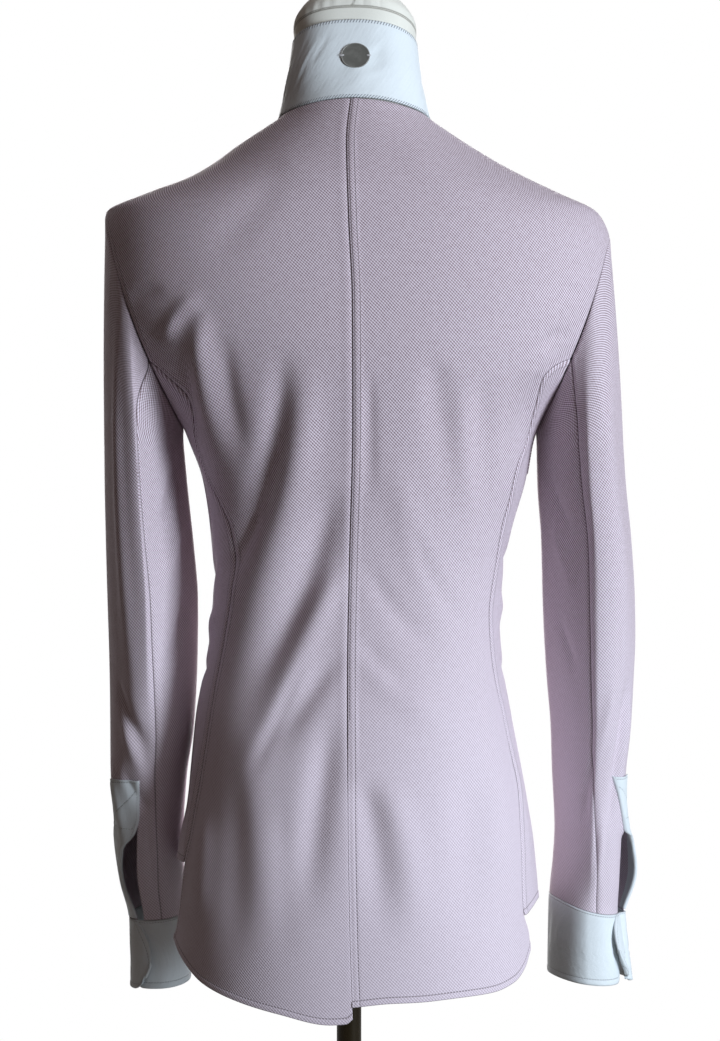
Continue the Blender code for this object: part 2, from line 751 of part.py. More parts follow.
def sleeve_height(side, drop):
    return mix(SLEEVE_TOP[side], SLEEVE_END, max(drop - 1, 0.0))


def sleeve_spot(side, phi, drop):
    """A point of the sleeve, beside the armhole's seam at the top, and the wall's direction there."""
    if drop > 0:
        return sleeve_point(side, phi, drop), sleeve_normal(side, phi, drop)
    return armhole_edge(side, phi, 1), armhole_normal(side, phi)


# The upper sleeve's columns: shares below 1 lie behind the slit, from 1 to 2 they are the placket's
# width, and from 2 to 3 they run on to the front seam. At the armhole they meet the body's rows.
UPPER_COLUMNS = (0, 1 / 3, 2 / 3, 0.999, 1, 1.5, 2, 2.2, 2.4, 2.6, 2.8, 3)
SLIT_COLUMN = 3
UNDER_COLUMNS = 6


def armhole_angles(side):
    """The sleeve's angles at the body's rows, from the side-back seam over the shoulder to the front."""
    top = ARMHOLE[side]["top_z"]
    backs = [cap_angle(side, "back", mix(SIDE_BACK_TOP[side], top, share)) for share in ARMHOLE_SHARES]
    fronts = [cap_angle(side, "front", mix(FRONT_ARM_Z, top, share)) for share in ARMHOLE_SHARES]
    return backs + fronts[-2::-1]


def upper_place(side, lift=0.0):
    angles = armhole_angles(side)
    slit = SLIT_AT[side]
    arc = radians(PLACKET_ARC)

    def place(u, drop):
        z = sleeve_height(side, drop)
        inset = SEAM_GAP / 2 / 0.05
        start = back_seam_angle(side, drop) + inset
        end = front_seam_angle(side, drop) - inset
        line = radians(slit["line"](z))
        edge = line + radians(slit["front_turn"](z))
        if u < 1:
            phi = mix(start, line - radians(slit["back_turn"](z)), min(u / 0.999, 1))
        elif u <= 2:
            phi = edge + (u - 1) * arc
        else:
            phi = mix(edge + arc, end, u - 2)
        if drop < 1:
            shares_at = sorted(set(UPPER_COLUMNS) - {0.999})
            phi = mix(float(np.interp(u, shares_at, angles)), phi, smooth(drop))
            phi = min(max(phi, start), end)
        point, normal = sleeve_spot(side, phi, drop)
        return point + normal * lift, normal

    return place


def under_place(side):
    def place(u, drop):
        inset = SEAM_GAP / 2 / 0.05
        start = front_seam_angle(side, drop) - tau + inset
        end = back_seam_angle(side, drop) - inset
        return sleeve_spot(side, mix(start, end, u), drop)

    return place


def cuff_place(side):
    """The open cuff: u runs from its outer end round the front and the inside to its under end."""

    def place(u, v):
        top, middle, foot = CUFF_END[side]
        end = (1 - v) * (1 - 2 * v) * top + 4 * v * (1 - v) * middle + v * (2 * v - 1) * foot
        phi = radians(mix(end, middle + 360 + CUFF_UNDERLAP, u))
        stand = mix(CUFF_STAND, CUFF_OFF, smooth(u * 4.5))
        from_end = min(u, 1 - u) * CUFF_GIRTH
        corner = 0.0
        if from_end < CUFF_CORNER:
            corner = CUFF_CORNER - (CUFF_CORNER**2 - (CUFF_CORNER - from_end) ** 2) ** 0.5
        low = CUFF_BOTTOM[side] + corner
        z = mix(SLEEVE_END - SEAM_GAP, low, v)
        along = sleeve_ring(side, phi + 2e-3, z) - sleeve_ring(side, phi - 2e-3, z)
        normal = Vector((-along.y, along.x, 0)).normalized() * side
        return sleeve_ring(side, phi, z) + normal * stand, normal

    return place


# Collar and neck


def collar_point(theta, v):
    """The collar's outer face, from the neckline at 0 to its upper edge at 1."""
    s, c = sin(theta), cos(theta)
    base = section_point(theta, neck_z(theta)) + Vector((0, 0, COLLAR_RISE))
    deep = (COLLAR_TOP["back"] + COLLAR_TOP["front"]) / 2
    middle = (COLLAR_TOP["back"] - COLLAR_TOP["front"]) / 2
    high = COLLAR_TOP["z"] + (COLLAR_TOP["rise"] * s if s > 0 else -COLLAR_TOP["fall"] * (-s) ** 1.3)
    top = Vector((GARMENT_X + COLLAR_TOP["side"] * c, middle + deep * s, high))
    return base.lerp(top, v) - Vector((c, s, 0)) * COLLAR_WAIST * sin(pi * v)


def collar_normal(theta, v):
    around = collar_point(theta + 2e-3, v) - collar_point(theta - 2e-3, v)
    up = collar_point(theta, min(v + 0.02, 1)) - collar_point(theta, max(v - 0.02, 0))
    return around.cross(up).normalized()


def collar_place(turn, v):
    """The collar at a share of a whole turn from the centre front, round by the wearer's left."""
    theta = -pi / 2 + turn * tau
    lift = (COLLAR_CLOTH + 2 * SEAM_GAP) * smooth((turn - 0.85) / 0.1)
    normal = collar_normal(theta, v)
    flat = Vector((normal.x, normal.y, 0)).normalized()
    wall = flat if v == 0 else normal
    return collar_point(theta, v) + flat * lift, wall


def shirt_body():
    across_back = shares(10)
    across_front = (0, BAND_SHARE, 0.26, 0.38, 0.50, 0.61, 0.71, 0.81, 0.91, 1)
    for side, word in ((LEFT, "left"), (RIGHT, "right")):
        for face, across in (("back", across_back), ("front", across_front)):
            across = across[::side]  # mirrored, so that the seams' corners are split alike
            sheet(f"{face}_{word}", across, panel_rows(side, face), panel_place(side, face), CLOTH, LILAC)
        rows = low_rows(side, "side")
        sheet(f"side_{word}", shares(UNDER_COLUMNS), rows, side_place(side), CLOTH, LILAC)


# The band ends this share of a panel above the hem, and at this share of the last row, below the collar.
BAND_FOOT, BAND_HEAD = 0.012, 0.82


def front_band():
    """The band that closes the fronts, on the points of their first columns, and its buttons."""
    lift = SEAM_GAP + PLACKET_CLOTH
    rows = {side: [BAND_FOOT] + panel_rows(side, "front")[1:] for side in (LEFT, RIGHT)}
    for side in rows:
        rows[side][-1] = mix(rows[side][-2], rows[side][-1], BAND_HEAD)
    fronts = {side: panel_place(side, "front", lift) for side in rows}

    def place(u, row):
        if u:
            side = LEFT if u > 0 else RIGHT
            return fronts[side](abs(u), rows[side][row])
        (left, normal), (right, _) = (fronts[side](0, rows[side][row]) for side in (LEFT, RIGHT))
        return (left + right) / 2, normal

    count = len(rows[LEFT])
    sheet("front_placket", (-BAND_SHARE, 0, BAND_SHARE), range(count), place, PLACKET_CLOTH, LILAC)
    middle = [place(0, row)[0] for row in range(count)]
    for index in range(FRONT_BUTTONS):
        z = mix(TOP_BUTTON_Z, LOW_BUTTON_Z, index / (FRONT_BUTTONS - 1))
        below, above = next(pair for pair in zip(middle, middle[1:]) if pair[1].z > z)
        margin = BUTTON_RADIUS * 1.1 / (above - below).length
        share = min(max((z - below.z) / (above.z - below.z), margin), 1 - margin)
        normal = (above - below).cross(Vector((-1, 0, 0))).normalized()
        seat = below.lerp(above, share) + normal * SEAM_GAP
        disc(f"front_button_{index + 1}", seat, normal, BUTTON_RADIUS, BUTTON_RADIUS, BUTTON_THICKNESS, PEARL, 0.3)


def disc(name, seat, normal, wide, high, thick, colour, roughness, metallic=0.0):
    """A round flat piece that stands on a seat, with eased edges."""
    shape = bmesh.new()
    bmesh.ops.create_cone(
        shape, cap_ends=True, segments=18, radius1=1, radius2=1, depth=thick,
    )
    bmesh.ops.scale(shape, vec=(wide, high, 1), verts=shape.verts)
    edges = [e for e in shape.edges if abs(e.verts[0].co.z - e.verts[1].co.z) < 1e-6]
    bmesh.ops.bevel(shape, geom=edges, offset=thick * 0.25, segments=1, profile=0.5, affect="EDGES", material=-1)
    turn = normal.to_track_quat("Z", "Y").to_matrix().to_4x4()
    bmesh.ops.transform(shape, matrix=Matrix.Translation(seat + normal * thick / 2) @ turn, verts=shape.verts)
    return add_object(name, shape, colour, roughness, metallic)


def sleeves():
    for side, word in ((LEFT, "left"), (RIGHT, "right")):
        sheet(
            f"sleeve_upper_{word}", UPPER_COLUMNS, sleeve_rows(), upper_place(side), CLOTH, LILAC, slit=SLIT_COLUMN
        )
        sheet(f"sleeve_under_{word}", shares(UNDER_COLUMNS), sleeve_rows(), under_place(side), CLOTH, LILAC)
        ends = (0, 0.012, 0.03, 0.06, 0.10)
        columns = ends + tuple(mix(0.10, 0.90, i / 13) for i in range(1, 13)) + tuple(1 - e for e in reversed(ends))
        sheet(f"cuff_{word}", columns, shares(4), cuff_place(side), CUFF_CLOTH, WHITE)
        seat, normal = cuff_place(side)(1 - ends[2], 0.5)
        disc(
            f"cuff_button_{word}", seat + normal * SEAM_GAP, normal, CUFF_BUTTON_RADIUS, CUFF_BUTTON_RADIUS,
            CUFF_BUTTON_THICKNESS, PEARL, 0.3,
        )
        first = 2 - (PLACKET_TOP - SLEEVE_END) / (SLEEVE_TOP[side] - SLEEVE_END)
        rows = [first] + [row for row in sleeve_rows() if row > first + 0.02]
        rows[-1] = 1.997
        lift = SEAM_GAP + PLACKET_CLOTH
        sheet(f"cuff_placket_{word}", (1, 1.5, 2), rows, upper_place(side, lift), PLACKET_CLOTH, WHITE)


def collar_and_badge():
    end = COLLAR_OVERLAP / 360
    turns = [-end] + shares(FORM_COLUMNS) + [1 + end]
    sheet("collar", turns, COLLAR_ROWS, collar_place, COLLAR_CLOTH, WHITE)
    normal = collar_normal(*BADGE_AT)
    seat = collar_point(*BADGE_AT) + normal * SEAM_GAP * 2
    disc("badge", seat, normal, BADGE_WIDTH / 2, BADGE_HEIGHT / 2, BADGE_THICKNESS, SILVER, 0.35, 1.0)


# The dress form: how far its skin lies inside the torso's surface.
FORM_CLEAR = table(
    "z clear",
    (
        (0.790, 0.018),
        (0.900, 0.016),
        (1.000, 0.013),
        (1.120, 0.012),
        (1.200, 0.010),
        (1.260, 0.0065),
        (1.305, 0.0058),
        (1.345, 0.0036),
        (1.400, 0.0022),
    ),
)
FORM_CLEAR_AT = spline(FORM_CLEAR["z"], FORM_CLEAR["clear"])


ARM_FACE_INSET = 0.005  # of the form's flat sides from the armholes


def form_point(theta, z):
    """The form's skin below the neckline, flat where a limb would start."""
    point = section_point(theta, z) - section_normal(theta, z) * FORM_CLEAR_AT(z)
    side = LEFT if cos(theta) > 0 else RIGHT
    hole = ARMHOLE[side]
    if z > hole["under_z"]:
        limit = armhole_x(side, min(z, hole["top_z"])) - ARM_FACE_INSET
        point.x = GARMENT_X + side * min(side * (point.x - GARMENT_X), limit)
    return point


def neck_point(theta, v):
    inset = COLLAR_CLOTH + NECK_CLEAR
    normal = collar_normal(theta, min(v, 1.0))
    flat = Vector((normal.x, normal.y, 0)).normalized()
    if v <= 1:
        return collar_point(theta, v) - flat * inset
    rise = (v - 1) * CAP_SEAM
    return collar_point(theta, 1) - flat * mix(inset, 0.0012, min(v - 1, 1)) + Vector((0, 0, rise))


def loft(name, columns, rings, place, colour, roughness):
    """A closed solid through rings, capped at both ends."""
    shape = bmesh.new()
    made = bmesh.ops.create_grid(shape, x_segments=columns, y_segments=len(rings) - 1, size=1)
    for vert in made["verts"]:
        theta = -pi / 2 + (vert.co.x + 1) / 2 * tau
        row = round((vert.co.y + 1) / 2 * (len(rings) - 1))
        vert.co = place(theta, rings[row])
    bmesh.ops.remove_doubles(shape, verts=shape.verts, dist=1e-6)
    bmesh.ops.holes_fill(shape, edges=[e for e in shape.edges if e.is_boundary], sides=0)
    bmesh.ops.triangulate(shape, faces=[f for f in shape.faces if len(f.verts) > 4])
    bmesh.ops.recalc_face_normals(shape, faces=shape.faces)
    return add_object(name, shape, colour, roughness)


def dress_form():
    torso_rings = [("torso", (i / 26) ** 0.92) for i in range(27)]
    neck_rings = [("neck", v) for v in COLLAR_ROWS + (1.3, 2.0)]

    def place(theta, ring):
        part, share = ring
        if part == "neck":
            return neck_point(theta, share)
        point = form_point(theta, mix(FORM_BOTTOM, neck_z(theta) - 0.004, share))
        return point if share > 0 else Vector((point.x, point.y, FORM_BOTTOM))

    loft("form_torso", FORM_COLUMNS, torso_rings + neck_rings, place, CREAM, 0.85)

    def cap(theta, share):
        rim = neck_point(theta, 2.0) + Vector((0, 0, SEAM_GAP))
        centre = (neck_point(0, 2.0) + neck_point(pi, 2.0) + neck_point(pi / 2, 2.0) + neck_point(-pi / 2, 2.0)) / 4
        angle = share * pi / 2
        point = centre.lerp(rim, cos(angle))
        return point + Vector((0, 0, CAP_HEIGHT * sin(angle)))

    loft("form_cap", 40, [0, 0.14, 0.3, 0.46, 0.62, 0.78, 0.92], cap, CREAM, 0.85)
    turned("form_pole", ((0, FORM_BOTTOM - SEAM_GAP), (POLE_RADIUS, FORM_BOTTOM - SEAM_GAP),
           (POLE_RADIUS, BASE_THICKNESS + SEAM_GAP), (0, BASE_THICKNESS + SEAM_GAP)), BRONZE)
    turned("form_base", base_profile(), BRONZE)


def base_profile():
    """Half of the base's section, from the top of its axis round its edge to the underside."""
    edge = 0.004
    return (
        (0, BASE_THICKNESS),
        (0.020, BASE_THICKNESS),
        (BASE_RADIUS - 0.020, BASE_THICKNESS - 0.003),
        (BASE_RADIUS - edge, BASE_THICKNESS - 0.006),
        (BASE_RADIUS, edge),
        (BASE_RADIUS - 0.002, 0),
        (0, 0),
    )


def turned(name, profile, colour):
    """A profile turned about the Z axis."""
    shape = bmesh.new()
    verts = [shape.verts.new((x, 0, z)) for x, z in profile]
    edges = [shape.edges.new(pair) for pair in zip(verts, verts[1:])]
    bmesh.ops.spin(
        shape, geom=verts + edges, cent=(0, 0, 0), axis=(0, 0, 1), angle=tau, steps=48, use_merge=True
    )
    bmesh.ops.remove_doubles(shape, verts=shape.verts, dist=1e-6)
    bmesh.ops.recalc_face_normals(shape, faces=shape.faces)
    return add_object(name, shape, colour, 0.45, 0.9)


shirt_body()
front_band()
sleeves()
collar_and_badge()
dress_form()
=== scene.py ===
"""Looks for the show shirt with a stand collar, worn by a limbless dress form on a pole.

The front of the shirt faces -Y and its wearer's left is +X. Every piece of cloth is a grid laid on the
shirt's own surface, with its folds, seams and hems worked in, in metres.
"""

from math import cos, pi, radians, sin, tau

import bmesh
import bpy
import numpy as np
from mathutils import Matrix, Vector


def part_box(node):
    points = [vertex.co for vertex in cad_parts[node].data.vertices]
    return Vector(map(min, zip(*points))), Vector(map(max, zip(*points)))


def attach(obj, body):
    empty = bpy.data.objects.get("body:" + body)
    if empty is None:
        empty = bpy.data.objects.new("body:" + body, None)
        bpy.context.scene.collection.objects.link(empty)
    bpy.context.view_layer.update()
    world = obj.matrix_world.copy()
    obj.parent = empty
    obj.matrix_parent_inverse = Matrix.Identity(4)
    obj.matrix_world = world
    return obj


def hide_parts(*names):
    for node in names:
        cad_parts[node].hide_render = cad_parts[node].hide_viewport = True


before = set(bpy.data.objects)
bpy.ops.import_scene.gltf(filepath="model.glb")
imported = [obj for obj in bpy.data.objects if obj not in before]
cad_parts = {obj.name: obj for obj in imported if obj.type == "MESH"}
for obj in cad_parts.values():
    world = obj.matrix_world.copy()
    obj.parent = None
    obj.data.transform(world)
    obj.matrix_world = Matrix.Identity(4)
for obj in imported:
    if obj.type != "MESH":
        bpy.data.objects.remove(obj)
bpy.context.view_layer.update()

GARMENT_X = -0.0046  # the shirt hangs this far to its wearer's right of the pole
SEAM_GAP = 0.0003
CLOTH = 0.0008
STARCHED = 0.0016
COLLAR_RISE = 0.0008  # the collar's lower edge is this far above the neckline
LEFT, RIGHT = 1, -1
SIDES = ((LEFT, "left"), (RIGHT, "right"))


def table(columns, rows):
    """The rows as one array for each named column."""
    return {name: np.array(values, float) for name, values in zip(columns.split(), zip(*rows))}


def spline(keys, values):
    """A cubic through the points that never swings past them."""
    keys, values = np.asarray(keys, float), np.asarray(values, float)
    step = np.diff(keys)
    rise = np.diff(values) / step
    turns = [2 * a * b / (a + b) if a * b > 0 else 0 for a, b in zip(rise, rise[1:])]
    slope = np.array([rise[0], *turns, rise[-1]])

    def at(key):
        i = np.clip(np.searchsorted(keys, key) - 1, 0, len(step) - 1)
        t = np.clip((key - keys[i]) / step[i], 0, 1)
        return (
            (1 + 2 * t) * (1 - t) ** 2 * values[i]
            + t * (1 - t) ** 2 * step[i] * slope[i]
            + t * t * (3 - 2 * t) * values[i + 1]
            - t * t * (1 - t) * step[i] * slope[i + 1]
        )

    return at


def mix(a, b, t):
    return a + (b - a) * t


def smooth(t):
    t = np.clip(t, 0, 1)
    return t * t * (3 - 2 * t)


def bell(distance, width):
    return np.exp(-((distance / width) ** 2))


def unit(vectors):
    return vectors / np.maximum(np.linalg.norm(vectors, axis=-1, keepdims=True), 1e-12)


def points(x, y, z):
    return np.stack(np.broadcast_arrays(x, y, z), axis=-1)


# The torso's level sections: half widths to the wearer's left and right, depths behind and in front of
# the middle, and how square each half is (2 is an ellipse). Above 1.31 the half widths are the shoulder line.
TORSO = table(
    "z left right back front square_back square_front",
    (
        (0.690, 0.1420, 0.1440, 0.1200, 0.1200, 2.3, 2.2),
        (0.760, 0.1405, 0.1425, 0.1215, 0.1210, 2.3, 2.2),
        (0.825, 0.1365, 0.1390, 0.1190, 0.1200, 2.3, 2.2),
        (0.860, 0.1300, 0.1340, 0.1150, 0.1185, 2.3, 2.2),
        (0.890, 0.1270, 0.1285, 0.1100, 0.1160, 2.3, 2.2),
        (0.926, 0.1231, 0.1212, 0.1020, 0.1110, 2.3, 2.2),
        (0.960, 0.1170, 0.1150, 0.0910, 0.1050, 2.3, 2.2),
        (1.000, 0.1105, 0.1118, 0.0810, 0.0995, 2.3, 2.2),
        (1.036, 0.1094, 0.1145, 0.0780, 0.0985, 2.3, 2.2),
        (1.069, 0.1118, 0.1207, 0.0810, 0.1020, 2.3, 2.2),
        (1.107, 0.1173, 0.1315, 0.0880, 0.1120, 2.35, 2.1),
        (1.139, 0.1285, 0.1375, 0.0950, 0.1220, 2.4, 2.0),
        (1.152, 0.1340, 0.1425, 0.0980, 0.1255, 2.4, 2.0),
        (1.170, 0.1465, 0.1530, 0.1020, 0.1290, 2.4, 2.0),
        (1.190, 0.1640, 0.1690, 0.1060, 0.1300, 2.4, 2.0),
        (1.215, 0.1820, 0.1855, 0.1085, 0.1275, 2.4, 2.0),
        (1.240, 0.1925, 0.1960, 0.1085, 0.1210, 2.4, 2.0),
        (1.265, 0.1970, 0.1995, 0.1060, 0.1120, 2.35, 2.0),
        (1.285, 0.1968, 0.1990, 0.1030, 0.1040, 2.3, 2.0),
        (1.297, 0.1955, 0.1960, 0.1005, 0.0985, 2.3, 2.0),
        (1.305, 0.1945, 0.1930, 0.0985, 0.0945, 2.25, 2.0),
        (1.314, 0.1920, 0.1870, 0.0960, 0.0905, 2.2, 2.0),
        (1.327, 0.1640, 0.1608, 0.0915, 0.0830, 2.1, 2.0),
        (1.339, 0.1315, 0.1352, 0.0860, 0.0755, 2.1, 2.0),
        (1.351, 0.1108, 0.1130, 0.0795, 0.0675, 2.0, 2.0),
        (1.365, 0.0917, 0.0898, 0.0705, 0.0600, 2.0, 2.0),
        (1.380, 0.0690, 0.0672, 0.0605, 0.0560, 2.0, 2.0),
        (1.3865, 0.0595, 0.0583, 0.0560, 0.0547, 2.0, 2.0),
        (1.395, 0.0560, 0.0545, 0.0505, 0.0535, 2.0, 2.0),
        (1.404, 0.0535, 0.0535, 0.0465, 0.0520, 2.0, 2.0),
    ),
)
TORSO_AT = {name: spline(TORSO["z"], values) for name, values in TORSO.items() if name != "z"}

# Each armhole runs from the underarm point to the shoulder point, bowed outwards between them.
ARMHOLE = {
    LEFT: {"under_x": 0.1330, "under_z": 1.150, "top_x": 0.1920, "top_z": 1.314, "bow": 0.006},
    RIGHT: {"under_x": 0.1405, "under_z": 1.148, "top_x": 0.1960, "top_z": 1.297, "bow": 0.004},
}
NECK_Z = 1.395  # the neckline behind
NECK_DIP = 0.047  # how far it drops at the centre front
NECK_SLOPE = 0.0085  # and at the sides
SHOULDER_SEAM = radians(24)  # how far in front of the shoulder line its seam meets the neckline

CENTRE_BACK = table(
    "z x",
    (
        (0.700, 0.0008), (0.776, 0.0035), (0.860, 0.0049), (0.965, 0.0054), (1.045, 0.0040),
        (1.150, 0.0015), (1.237, 0.0018), (1.300, 0.0046), (1.360, 0.0062), (1.400, 0.0025),
    ),
)
SIDE_BACK = {
    LEFT: table(
        "z x",
        (
            (0.761, 0.1380), (0.772, 0.1350), (0.796, 0.1315), (0.822, 0.1280), (0.843, 0.1225),
            (0.864, 0.1188), (0.899, 0.1135), (0.950, 0.1057), (0.987, 0.0983), (1.018, 0.0930),
            (1.046, 0.0912), (1.069, 0.0935), (1.091, 0.1025), (1.109, 0.1120), (1.135, 0.1205),
            (1.167, 0.1275), (1.179, 0.1355), (1.188, 0.1440), (1.197, 0.1535),
        ),
    ),
    RIGHT: table(
        "z x",
        (
            (0.757, 0.1320), (0.768, 0.1310), (0.786, 0.1262), (0.833, 0.1240), (0.872, 0.1221),
            (0.900, 0.1176), (0.932, 0.1117), (0.958, 0.1060), (0.979, 0.1032), (1.005, 0.1020),
            (1.047, 0.1077), (1.074, 0.1122), (1.091, 0.1168), (1.118, 0.1228), (1.137, 0.1305),
            (1.165, 0.1367), (1.183, 0.1405), (1.192, 0.1490), (1.199, 0.1615),
        ),
    ),
}
SIDE_FRONT = table("z angle", ((0.750, 34.0), (0.900, 31.0), (1.030, 27.0), (1.130, 24.0)))
FRONT_ARM_Z = 1.196  # where the side-front seam meets the armhole

# Hems: the height at each share of the way from the centre to the panel's outer edge.
HEM = {
    ("back", LEFT): table(
        "along z",
        (
            (0.00, 0.7165), (0.03, 0.7130), (0.11, 0.7122), (0.33, 0.7189), (0.51, 0.7255),
            (0.70, 0.7350), (0.82, 0.7456), (1.00, 0.7620),
        ),
    ),
    ("back", RIGHT): table(
        "along z",
        (
            (0.00, 0.7250), (0.20, 0.7277), (0.33, 0.7280), (0.52, 0.7295), (0.71, 0.7305),
            (0.85, 0.7350), (0.94, 0.7440), (1.00, 0.7580),
        ),
    ),
    ("front", LEFT): table("along z", ((0.0, 0.742), (0.4, 0.745), (0.7, 0.756), (1.0, 0.788))),
    ("front", RIGHT): table("along z", ((0.0, 0.742), (0.4, 0.744), (0.7, 0.751), (1.0, 0.770))),
    ("side", LEFT): table("along z", ((0.0, 0.788), (0.4, 0.810), (0.75, 0.819), (1.0, 0.820))),
    ("side", RIGHT): table("along z", ((0.0, 0.770), (0.4, 0.785), (0.75, 0.789), (1.0, 0.782))),
}

# The sleeves below the underarm: distances from the middle of the shirt to the outer and inner edges,
# the middle of the depth, half the depth, and how square the section is.
SLEEVE = {
    LEFT: table(
        "z outer inner middle depth square",
        (
            (0.704, 0.1740, 0.1310, -0.061, 0.0410, 2.5),
            (0.735, 0.1760, 0.1320, -0.060, 0.0410, 2.5),
            (0.766, 0.1775, 0.1340, -0.060, 0.0415, 2.6),
            (0.795, 0.1838, 0.1362, -0.057, 0.0430, 2.7),
            (0.828, 0.1880, 0.1362, -0.052, 0.0450, 2.8),
            (0.875, 0.1909, 0.1330, -0.043, 0.0485, 2.8),
            (0.915, 0.1917, 0.1270, -0.035, 0.0520, 2.5),
            (0.965, 0.1926, 0.1240, -0.026, 0.0560, 2.3),
            (1.015, 0.1934, 0.1230, -0.018, 0.0590, 2.2),
            (1.060, 0.1940, 0.1262, -0.012, 0.0600, 2.2),
            (1.100, 0.1942, 0.1300, -0.006, 0.0600, 2.2),
            (1.135, 0.1940, 0.1330, -0.001, 0.0600, 2.2),
        ),
    ),
    RIGHT: table(
        "z outer inner middle depth square",
        (
            (0.701, 0.2110, 0.1545, -0.061, 0.0400, 2.5),
            (0.766, 0.2095, 0.1559, -0.060, 0.0405, 2.5),
            (0.796, 0.2110, 0.1582, -0.057, 0.0420, 2.5),
            (0.828, 0.2115, 0.1593, -0.052, 0.0440, 2.5),
            (0.880, 0.2138, 0.1564, -0.042, 0.0480, 2.4),
            (0.915, 0.2170, 0.1547, -0.035, 0.0520, 2.3),
            (0.955, 0.2184, 0.1508, -0.027, 0.0560, 2.2),
            (0.982, 0.2193, 0.1488, -0.023, 0.0580, 2.2),
            (1.015, 0.2185, 0.1470, -0.018, 0.0590, 2.2),
            (1.062, 0.2150, 0.1454, -0.012, 0.0600, 2.2),
            (1.105, 0.2100, 0.1420, -0.006, 0.0600, 2.2),
            (1.133, 0.2075, 0.1410, -0.001, 0.0600, 2.2),
        ),
    ),
}
SLEEVE_AT = {
    side: {name: spline(rows["z"], values) for name, values in rows.items() if name != "z"}
    for side, rows in SLEEVE.items()
}
SLEEVE_END = 0.766  # the sleeve's lower edge, at the cuff
SLEEVE_TOP = {side: float(rows["z"][-1]) for side, rows in SLEEVE.items()}
CAP_BULGE = 0.001

# Sleeve angles run from the edge next to the body by way of the back to the outer edge and the front.
# The back seam's heights and angles were picked from rows that a separate measuring script printed.
BACK_SEAM = {
    LEFT: table("z angle", ((0.766, 75.0), (0.828, 69.0), (0.900, 75.0), (0.986, 83.0), (1.135, 86.0))),
    RIGHT: table("z angle", ((0.766, 104.0), (0.844, 92.0), (0.908, 83.0), (1.047, 80.0), (1.133, 75.0))),
}
FRONT_SEAM = 300.0
# The slit above the cuff gapes: the angle of its own line, how far its back and front edges turn away
# from that line, in degrees, and how far its front edge stands out.
SLIT = {
    LEFT: table(
        "z line back_turn front_turn out",
        (
            (0.766, 118.0, 7.0, 9.0, 0.000),
            (0.797, 121.0, 12.0, 22.0, 0.001),
            (0.820, 113.0, 8.0, 17.0, 0.001),
            (0.838, 102.0, 1.0, 3.0, 0.000),
            (0.850, 99.0, 0.0, 0.0, 0.000),
            (0.885, 98.0, 0.0, 0.0, 0.000),
        ),
    ),
    RIGHT: table(
        "z line back_turn front_turn out",
        (
            (0.766, 163.0, 8.0, 10.0, 0.005),
            (0.797, 163.0, 13.0, 16.0, 0.015),
            (0.820, 161.0, 8.0, 10.0, 0.010),
            (0.835, 148.0, 0.0, 0.0, 0.005),
            (0.885, 123.0, 0.0, 0.0, 0.000),
        ),
    ),
}
SLIT_AT = {
    side: {name: spline(rows["z"], values) for name, values in rows.items() if name != "z"}
    for side, rows in SLIT.items()
}
PLACKET_TOP = 0.878
PLACKET_ARC = {LEFT: 42.0, RIGHT: 36.0}  # the sleeve placket's width, in degrees of the sleeve

# The cuffs: their lower edges, the angles of each outer end at its top, middle and foot, how far it
# stands off the sleeve, and how far the under end runs past it.
CUFF_BOTTOM = {LEFT: 0.7130, RIGHT: 0.7110}
CUFF_END = {LEFT: (126.0, 99.0, 112.0), RIGHT: (142.0, 131.0, 158.0)}
CUFF_STAND = 0.0062
CUFF_UNDERLAP = {LEFT: 38.0, RIGHT: 27.0}
CUFF_CORNER = 0.009
CUFF_GIRTH = 0.21
CUFF_OFF = 0.0006  # how far the cuff lies outside the sleeve's surface where it is closed

# The collar's upper edge: its half width, its depths behind and in front, and its heights.
COLLAR_TOP = {"side": 0.0488, "back": 0.0350, "front": 0.0580, "z": 1.444, "rise": 0.0136, "fall": 0.038}
COLLAR_OVERLAP = 5.0  # degrees that each end runs past the centre front
COLLAR_WAIST = 0.0012  # how far the middle of its height curves in
CAP_SEAM = 0.010  # the cap's seam is this far above the collar
CAP_HEIGHT = 0.033

EASE_STEPS = (-0.013, -0.006, 0, 0.006, 0.013)  # the torso's eased slope is the mean at these heights
CUFF_SWING = {LEFT: 0.014, RIGHT: 0.0}  # how far back the lower sleeve hangs from its solid
CUFF_TILT = {LEFT: 0.002, RIGHT: 0.013}  # how far the cuff's seam rises towards the body
SLEEVE_REACH = 0.045  # metres of cloth for each radian round the sleeve, for its creases
# How flat each sleeve's back lies, towards the body at each height and away from it: 2 is round, and 1
# is flat.
SLEEVE_FLATS = {
    LEFT: (spline((0.711, 0.900, 0.950, 1.000, 1.060), (2.0, 2.0, 1.6, 1.2, 1.06)), 1.70),
    RIGHT: (
        spline(
            (0.711, 0.766, 0.800, 0.860, 0.930, 1.000, 1.080),
            (1.75, 1.62, 1.34, 1.26, 1.24, 1.16, 1.08),
        ),
        2.0,
    ),
}
FAR = 1.0  # a distance that means there is no stitching
WELT_WIDTH = 0.0070
WELT_LIFT = 0.0006
HEM_ROW = 0.0046  # from the hem to its row of stitches
SEAM_ROW = 0.0052  # from a seam to its row of stitches
BAND_ROW = 0.0028  # from the front band's edge to its row of stitches
WHIP_STITCHES = 430.0  # in a metre of the collar's edge
POLE_RADIUS = 0.0095
FORM_FOOT = 0.800  # the form's lower end, where the pole meets it
BASE_RADIUS = 0.190
BASE_THICK = 0.014
FLOOR_RADIUS = 1.5
AMBIENT = (0.044, 0.028, 0.020)

